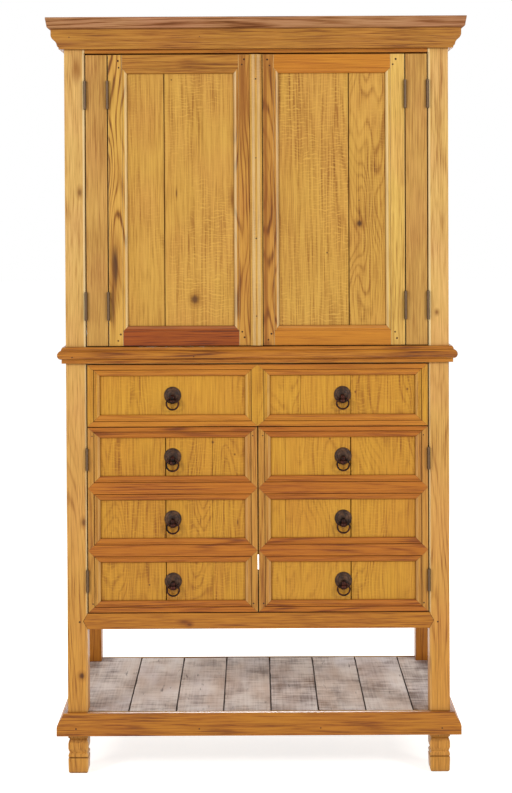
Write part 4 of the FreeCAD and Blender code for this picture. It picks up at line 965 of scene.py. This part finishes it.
class CABINET_OT_lower_doors(bpy.types.Operator):
    """Lower doors: upright boards behind mitred mouldings with pointed rails"""

    bl_idname = "cabinet.lower_doors"
    bl_label = "Lower doors"

    def execute(self, context):
        for side in ("left", "right"):
            woodwork("lower_" + side + "_door_boards", "golden", upright=True)
            woodwork(
                "lower_" + side + "_door_mouldings",
                lambda centre, size: "russet" if lies_across(size) else "amber",
                rubbed=FACING_WEAR_AND_HIGHLIGHT,
            )
        return {"FINISHED"}


# Iron


HINGE_EASE = 0.4 * MM


class CABINET_OT_hinges(bpy.types.Operator):
    """Butt hinges in the gaps of the doors"""

    bl_idname = "cabinet.hinges"
    bl_label = "Hinges"

    def execute(self, context):
        for node in BODY_OF:
            if "hinge" not in node:
                continue
            heap = BoardHeap(node + "_steel")
            for number, shell in enumerate(solids_of(node)):
                bm, _ = eased(shell, HINGE_EASE)
                # Front faces get the pale steel as a painted glint
                worn = {face: 1.0 for face in bm.faces if face.normal.y < -FACING_FRONT}
                heap.add(bm, worn, "steel", f"{node} {number}")
            heap.piece(node)
        return {"FINISHED"}


def lathe(bm, profile, centre, axis, side, turns):
    """Turn a profile of (radius, distance along axis) in millimetres; a radius of 0 closes the end."""
    up = axis.cross(side)
    angles = [2 * math.pi * k / turns for k in range(turns)]
    rows = []
    for radius, out in profile:
        hub = centre + axis * (out * MM)
        if radius == 0:
            rows.append([bm.verts.new(hub)] * turns)
            continue
        rows.append([
            bm.verts.new(hub + (side * math.cos(a) + up * math.sin(a)) * (radius * MM)) for a in angles
        ])
    for one, two in zip(rows, rows[1:]):
        for k in range(turns):
            loop = list(dict.fromkeys([one[k - 1], one[k], two[k], two[k - 1]]))
            if len(loop) > 2:
                bm.faces.new(loop)


# Profile of a cast plate as radius and distance out, in millimetres
PLATE_PROFILE = [
    (0, 0), (22.6, 0), (23.0, 0.5), (23.0, 1.2), (22.2, 2.0), (20.8, 2.3), (20.0, 1.9), (19.2, 2.6),
    (17.4, 3.5), (15.4, 3.6), (14.2, 3.0), (13.2, 3.6), (10.5, 4.6), (7.0, 5.2), (3.5, 5.5), (0, 5.6),
]
# Profile of the beaded eye that the ring runs through, as radius and distance along it
EYE_PROFILE = [
    (3.3, -4.9), (5.2, -5.4), (6.9, -4.4), (7.8, -2.4), (8.0, 0), (7.8, 2.4), (6.9, 4.4), (5.2, 5.4),
    (3.3, 4.9), (3.05, 2.0), (3.05, -2.0), (3.3, -4.9),
]
# Profile of the ball that hangs below the eye, inside the ring, as radius and distance below the eye
BALL_PROFILE = [
    (0, 3.3), (5.0, 4.0), (7.8, 5.4), (9.3, 7.6), (9.8, 10.0), (9.3, 12.4), (7.8, 14.8), (5.0, 16.4),
    (0, 17.2),
]
# Profile of the shank between plate and eye, as radius and distance out
SHANK_PROFILE = [(0, 2.0), (6.2, 2.0), (5.4, 4.5), (4.2, 6.0), (3.6, 8.2), (0, 8.2)]
PLATE_TURNS = 40
EYE_TURNS = 24
SHANK_TURNS = 20
EYE_DROP = 5.0
EYE_PROUD = 13.0
RING_RADIUS = 16.25
RING_WIRE = 2.25
RING_SWELL = 0.15
RING_TURNS = 48
RING_SIDES = 14


class CABINET_OT_pulls(bpy.types.Operator):
    """Cast plates with their eyes, and the rings that hang in them"""

    bl_idname = "cabinet.pulls"
    bl_label = "Ring pulls"

    def execute(self, context):
        out, across, down = Vector((0, -1, 0)), Vector((1, 0, 0)), Vector((0, 0, -1))
        for node in ("drawer_pull_plates", "lower_left_pull_plates", "lower_right_pull_plates"):
            heap = BoardHeap(node + "_iron")
            for number, shell in enumerate(solids_of(node)):
                centre, size = middle_of(shell)
                hub = Vector((centre.x, centre.y + size.y / 2, centre.z))
                eye = hub + Vector((0, -EYE_PROUD, -EYE_DROP)) * MM
                shank = hub + Vector((0, 0, -EYE_DROP)) * MM
                plate = bmesh.new()
                lathe(plate, PLATE_PROFILE, hub, out, across, PLATE_TURNS)
                bm = bmesh.new()
                lathe(bm, EYE_PROFILE, eye, across, out, EYE_TURNS)
                lathe(bm, BALL_PROFILE, eye, down, across, EYE_TURNS)
                lathe(bm, SHANK_PROFILE, shank, out, across, SHANK_TURNS)
                for part, metal in ((plate, "iron"), (bm, "soot")):
                    bmesh.ops.remove_doubles(part, verts=part.verts, dist=NEAR)
                    bmesh.ops.recalc_face_normals(part, faces=part.faces)
                    heap.add(part, {}, metal, f"{node} {number}")
            heap.piece(node)
        for node in BODY_OF:
            if "_ring_" in node:
                self.ring(node)
        return {"FINISHED"}

    def ring(self, node):
        """One ring of round wire, a little thicker at its foot."""
        low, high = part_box(node)
        centre = (low + high) / 2
        bm = bmesh.new()
        rows = []
        for k in range(RING_TURNS):
            a = 2 * math.pi * k / RING_TURNS
            spoke = Vector((math.sin(a), 0, math.cos(a)))
            wire = (RING_WIRE - RING_SWELL * math.cos(a)) * MM
            rows.append([
                bm.verts.new(
                    centre + spoke * (RING_RADIUS * MM + wire * math.cos(2 * math.pi * s / RING_SIDES))
                    + Vector((0, wire * math.sin(2 * math.pi * s / RING_SIDES), 0))
                )
                for s in range(RING_SIDES)
            ])
        for k in range(RING_TURNS):
            for s in range(RING_SIDES):
                bm.faces.new([rows[k - 1][s - 1], rows[k - 1][s], rows[k][s], rows[k][s - 1]])
        bmesh.ops.recalc_face_normals(bm, faces=bm.faces)
        heap = BoardHeap(node + "_iron")
        heap.add(bm, {}, "soot", node)
        heap.piece(node)


# Pegs and nails

FRONT_MM = FRONT / MM

# Pegs of the door joints as (x, z) in millimetres on the front faces
LEFT_DOOR_PEGS = [
    (-370, 1917), (-368, 1899), (-32, 1920), (-38, 1906),
    (-366, 1184), (-373, 1167), (-40, 1190), (-34, 1175),
]
RIGHT_DOOR_PEGS = [
    (30, 1919), (36, 1903), (374, 1919), (366, 1905),
    (38, 1184), (30, 1168), (370, 1188), (375, 1171),
]
POST_PEGS = [(-481, 410), (482, 407)]
BEAD_NAILS = [(-1.5, 1867), (-1.5, 1656), (-1.5, 1440), (-1.5, 1232)]
BEAD_PROUD = 7.0
WAIST_NAILS = [(-495, 1125), (492, 1127), (-170, 1126), (160, 1128)]
WAIST_PROUD = 20.7
CORNICE_NAILS = [(-497, 1979), (488, 1981), (-150, 1979), (175, 1980)]
CORNICE_PROUD = 30.6
BASE_NAILS = [(-490, 130), (490, 128), (-160, 129), (165, 130)]
BASE_PROUD = 28.0
FACE_NAIL_INSET = (12.0 * MM, 23.0 * MM)
HEAD_PROUD = 0.5 * MM
HEAD_SEGMENTS = 12
HEAD_RINGS = 6
SMALLEST_HEAD = 0.85
LARGEST_HEAD = 1.15
HEAD_SEED = 4


def on_front(places, proud=0.0):
    """Points on the front, or on what stands proud of it, in millimetres."""
    return [(x, FRONT_MM - proud, z) for x, z in places]


def fastener_tree():
    """Domed heads set into the wood at each point, each of a slightly different size."""
    tree = bpy.data.node_groups.new("set_heads", "GeometryNodeTree")
    sockets = {}
    for name, kind in (
        ("Places", "NodeSocketGeometry"), ("Radius", "NodeSocketFloat"), ("Proud", "NodeSocketFloat"),
        ("Finish", "NodeSocketMaterial"),
    ):
        sockets[name] = tree.interface.new_socket(name, in_out="INPUT", socket_type=kind).identifier
    tree.interface.new_socket("Heads", in_out="OUTPUT", socket_type="NodeSocketGeometry")
    given = put(tree, "NodeGroupInput").node.outputs
    points = put(tree, "GeometryNodeMeshToPoints", {"Mesh": given["Places"]})
    inputs = {"Segments": HEAD_SEGMENTS, "Rings": HEAD_RINGS, "Radius": given["Radius"]}
    dome = put(tree, "GeometryNodeMeshUVSphere", inputs)
    flat = put(tree, MATH, {0: given["Proud"], 1: given["Radius"]}, operation="DIVIDE")
    squash = put(tree, "ShaderNodeCombineXYZ", {"X": 1.0, "Y": flat, "Z": 1.0})
    head = put(tree, "GeometryNodeTransform", {"Geometry": dome, "Scale": squash})
    inputs = {2: SMALLEST_HEAD, 3: LARGEST_HEAD, "Seed": HEAD_SEED}
    sizes = put(tree, "FunctionNodeRandomValue", inputs, out=1, data_type="FLOAT")
    heads = put(tree, "GeometryNodeInstanceOnPoints", {"Points": points, "Instance": head, "Scale": sizes})
    real = put(tree, "GeometryNodeRealizeInstances", {"Geometry": heads})
    smooth = put(tree, "GeometryNodeSetShadeSmooth", {"Geometry": real})
    made = put(tree, "GeometryNodeSetMaterial", {"Geometry": smooth, "Material": given["Finish"]})
    put(tree, "NodeGroupOutput", {"Heads": made})
    return tree, sockets


class CABINET_OT_fasteners(bpy.types.Operator):
    """Wooden pegs of the joints and nails of the mouldings"""

    bl_idname = "cabinet.fasteners"
    bl_label = "Pegs and nails"

    def execute(self, context):
        iron = context.scene.cabinet_iron
        self.tree, self.sockets = fastener_tree()
        peg = (iron.peg_radius, "peg", "golden_wood")
        nail = (iron.nail_radius, "iron", "dark_iron")
        self.heads("post_pegs", "carcase", on_front(POST_PEGS), *peg)
        self.heads("left_door_pegs", "left_door", on_front(LEFT_DOOR_PEGS), *peg)
        self.heads("right_door_pegs", "right_door", on_front(RIGHT_DOOR_PEGS), *peg)
        self.heads("bead_nails", "left_door", on_front(BEAD_NAILS, BEAD_PROUD), *nail)
        planted = on_front(WAIST_NAILS, WAIST_PROUD) + on_front(CORNICE_NAILS, CORNICE_PROUD)
        planted += on_front(BASE_NAILS, BASE_PROUD)
        self.heads("moulding_nails", "carcase", planted, *nail)
        in_x, in_z = FACE_NAIL_INSET
        for name in ("lower_left", "lower_right"):
            low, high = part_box(name + "_door_mouldings")
            wide, tall = (low.x + in_x, high.x - in_x), (low.z + in_z, high.z - in_z)
            corners = [(x / MM, z / MM) for x in wide for z in tall]
            self.heads(name + "_nails", name + "_door", on_front(corners), *nail)
        return {"FINISHED"}

    def heads(self, name, body, places, radius, finish_name, slot):
        """One mesh of heads for a body."""
        points = bpy.data.meshes.new(name)
        points.from_pydata([Vector(p) * MM for p in places], [], [])
        piece = placed(name, points)
        modifier = piece.modifiers.new("heads", "NODES")
        modifier.node_group = self.tree
        modifier[self.sockets["Radius"]] = radius
        modifier[self.sockets["Proud"]] = HEAD_PROUD
        modifier[self.sockets["Finish"]] = finish(finish_name)
        graph = bpy.context.evaluated_depsgraph_get()
        made = bpy.data.meshes.new_from_object(piece.evaluated_get(graph))
        piece.modifiers.remove(modifier)
        piece.data = made
        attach(piece, body)


# Stage

FLOOR_GLOW = 0.72
FLOOR_RADIUS = 30.0
FLOOR_SIDES = 96
WHITE = (1, 1, 1, 1)
SENSOR_MM = 36
CAMERA_ASIDE = -2 * MM
# Places and aims of the lamps, and their widths
KEY_PLACE = (3.3, FRONT - 3.0, 2.5)
FILL_PLACE = (-3.3, FRONT - 3.0, 2.5)
BACK_PLACE = (0.0, 3.2, 1.35)
FRONT_AIM = Vector((0, FRONT, 1.2))
SHELF_AIM = Vector((0, 0, 0.2))
FRONT_WIDTH = 1.2
BACK_WIDTH = 1.6


class CABINET_OT_stage(bpy.types.Operator):
    """Pale floor, soft lamps, even sky and the camera"""

    bl_idname = "cabinet.stage"
    bl_label = "Stage"

    def execute(self, context):
        stage = context.scene.cabinet_stage
        self.floor(stage)
        self.sky(stage)
        self.lamp("key_lamp", KEY_PLACE, FRONT_AIM, FRONT_WIDTH, stage.key)
        self.lamp("fill_lamp", FILL_PLACE, FRONT_AIM, FRONT_WIDTH, stage.fill)
        self.lamp("back_lamp", BACK_PLACE, SHELF_AIM, BACK_WIDTH, stage.back, glare=0.0)
        self.camera(stage)
        bpy.context.scene.view_settings.view_transform = "Standard"
        return {"FINISHED"}

    def seen(self, tree):
        """1 for what the camera sees directly or in a reflection."""
        path = put(tree, "ShaderNodeLightPath").node.outputs
        shown = put(tree, MATH, {0: path["Is Camera Ray"], 1: path["Is Glossy Ray"]}, operation="MAXIMUM")
        return put(tree, MATH, {0: shown, 1: path["Is Transmission Ray"]}, operation="MAXIMUM")

    def floor(self, stage):
        """A wide pale floor that keeps the cabinet's shadow."""
        bm = bmesh.new()
        bmesh.ops.create_circle(bm, cap_ends=True, radius=FLOOR_RADIUS, segments=FLOOR_SIDES)
        mesh = bpy.data.meshes.new("studio_floor")
        bm.to_mesh(mesh)
        bm.free()
        material, tree = blank_material("matt_studio_floor")
        matt = put(tree, "ShaderNodeBsdfDiffuse", {"Color": (*stage.floor, 1.0)})
        glow = put(tree, MATH, {0: self.seen(tree), 1: FLOOR_GLOW}, **TIMES)
        white = put(tree, "ShaderNodeEmission", {"Color": WHITE, "Strength": glow})
        put(tree, SURFACE, {"Surface": put(tree, "ShaderNodeAddShader", {0: matt, 1: white})})
        mesh.materials.append(material)
        floor = placed("studio_floor", mesh)

    def sky(self, stage):
        """White to the eye and an even soft light for the cabinet."""
        world = bpy.data.worlds.new("studio_sky")
        world.use_nodes = True
        tree = world.node_tree
        tree.nodes.clear()
        strength = put(tree, RANGE, {0: self.seen(tree), 1: 0.0, 2: 1.0, 3: stage.sky, 4: 1.0})
        light = put(tree, "ShaderNodeBackground", {"Color": WHITE, "Strength": strength})
        put(tree, "ShaderNodeOutputWorld", {"Surface": light})
        bpy.context.scene.world = world

    def lamp(self, name, place, aim, size, power, glare=1.0):
        """A large soft lamp aimed at a point; glare is its share in reflections."""
        light = bpy.data.lights.new(name, "AREA")
        light.shape = "DISK"
        light.size = size
        light.energy = power
        light.specular_factor = glare
        lamp = placed(name, light)
        lamp.location = place
        lamp.rotation_euler = (aim - lamp.location).to_track_quat("-Z", "Y").to_euler()

    def camera(self, stage):
        """A nearly level camera at eye height, with the lens shifted down to the cabinet."""
        data = bpy.data.cameras.new("camera")
        data.sensor_width = SENSOR_MM
        data.lens = stage.lens
        data.shift_y = stage.shift
        camera = placed("camera", data)
        camera.location = (CAMERA_ASIDE, FRONT - stage.distance, stage.eye)
        level = Euler((math.radians(90) - stage.dip, 0, 0)).to_matrix()
        lean = Euler((0, 0, stage.roll)).to_matrix()
        camera.rotation_euler = (level @ lean).to_euler()
        bpy.context.scene.camera = camera


OPERATORS = (
    CABINET_OT_carcase, CABINET_OT_inside, CABINET_OT_mouldings, CABINET_OT_planks, CABINET_OT_upper_doors,
    CABINET_OT_drawer, CABINET_OT_lower_doors, CABINET_OT_hinges, CABINET_OT_pulls, CABINET_OT_fasteners,
    CABINET_OT_stage,
)


class CABINET_PT_panel(bpy.types.Panel):
    """Lists the cabinet's pieces and their sizes and colours"""

    bl_idname = "CABINET_PT_panel"
    bl_label = "Television cabinet"
    bl_space_type = "VIEW_3D"
    bl_region_type = "UI"
    bl_category = "Cabinet"

    def draw(self, context):
        scene = context.scene
        for group in (scene.cabinet_wood, scene.cabinet_iron, scene.cabinet_stage):
            box = self.layout.box()
            for name in group.__annotations__:
                box.prop(group, name)
        for operator in OPERATORS:
            self.layout.operator(operator.bl_idname)


GROUPS = {"cabinet_wood": CabinetWood, "cabinet_iron": CabinetIron, "cabinet_stage": CabinetStage}


def register():
    for name, group in GROUPS.items():
        bpy.utils.register_class(group)
        setattr(bpy.types.Scene, name, bpy.props.PointerProperty(type=group))
    for cls in (*OPERATORS, CABINET_PT_panel):
        bpy.utils.register_class(cls)


def unregister():
    for cls in reversed((*OPERATORS, CABINET_PT_panel)):
        bpy.utils.unregister_class(cls)
    for name, group in reversed(list(GROUPS.items())):
        delattr(bpy.types.Scene, name)
        bpy.utils.unregister_class(group)


def main():
    register()
    bpy.ops.cabinet.carcase()
    bpy.ops.cabinet.inside()
    bpy.ops.cabinet.mouldings()
    bpy.ops.cabinet.planks()
    bpy.ops.cabinet.upper_doors()
    bpy.ops.cabinet.drawer()
    bpy.ops.cabinet.lower_doors()
    bpy.ops.cabinet.hinges()
    bpy.ops.cabinet.pulls()
    bpy.ops.cabinet.fasteners()
    bpy.ops.cabinet.stage()


if __name__ == "__main__":
    main()
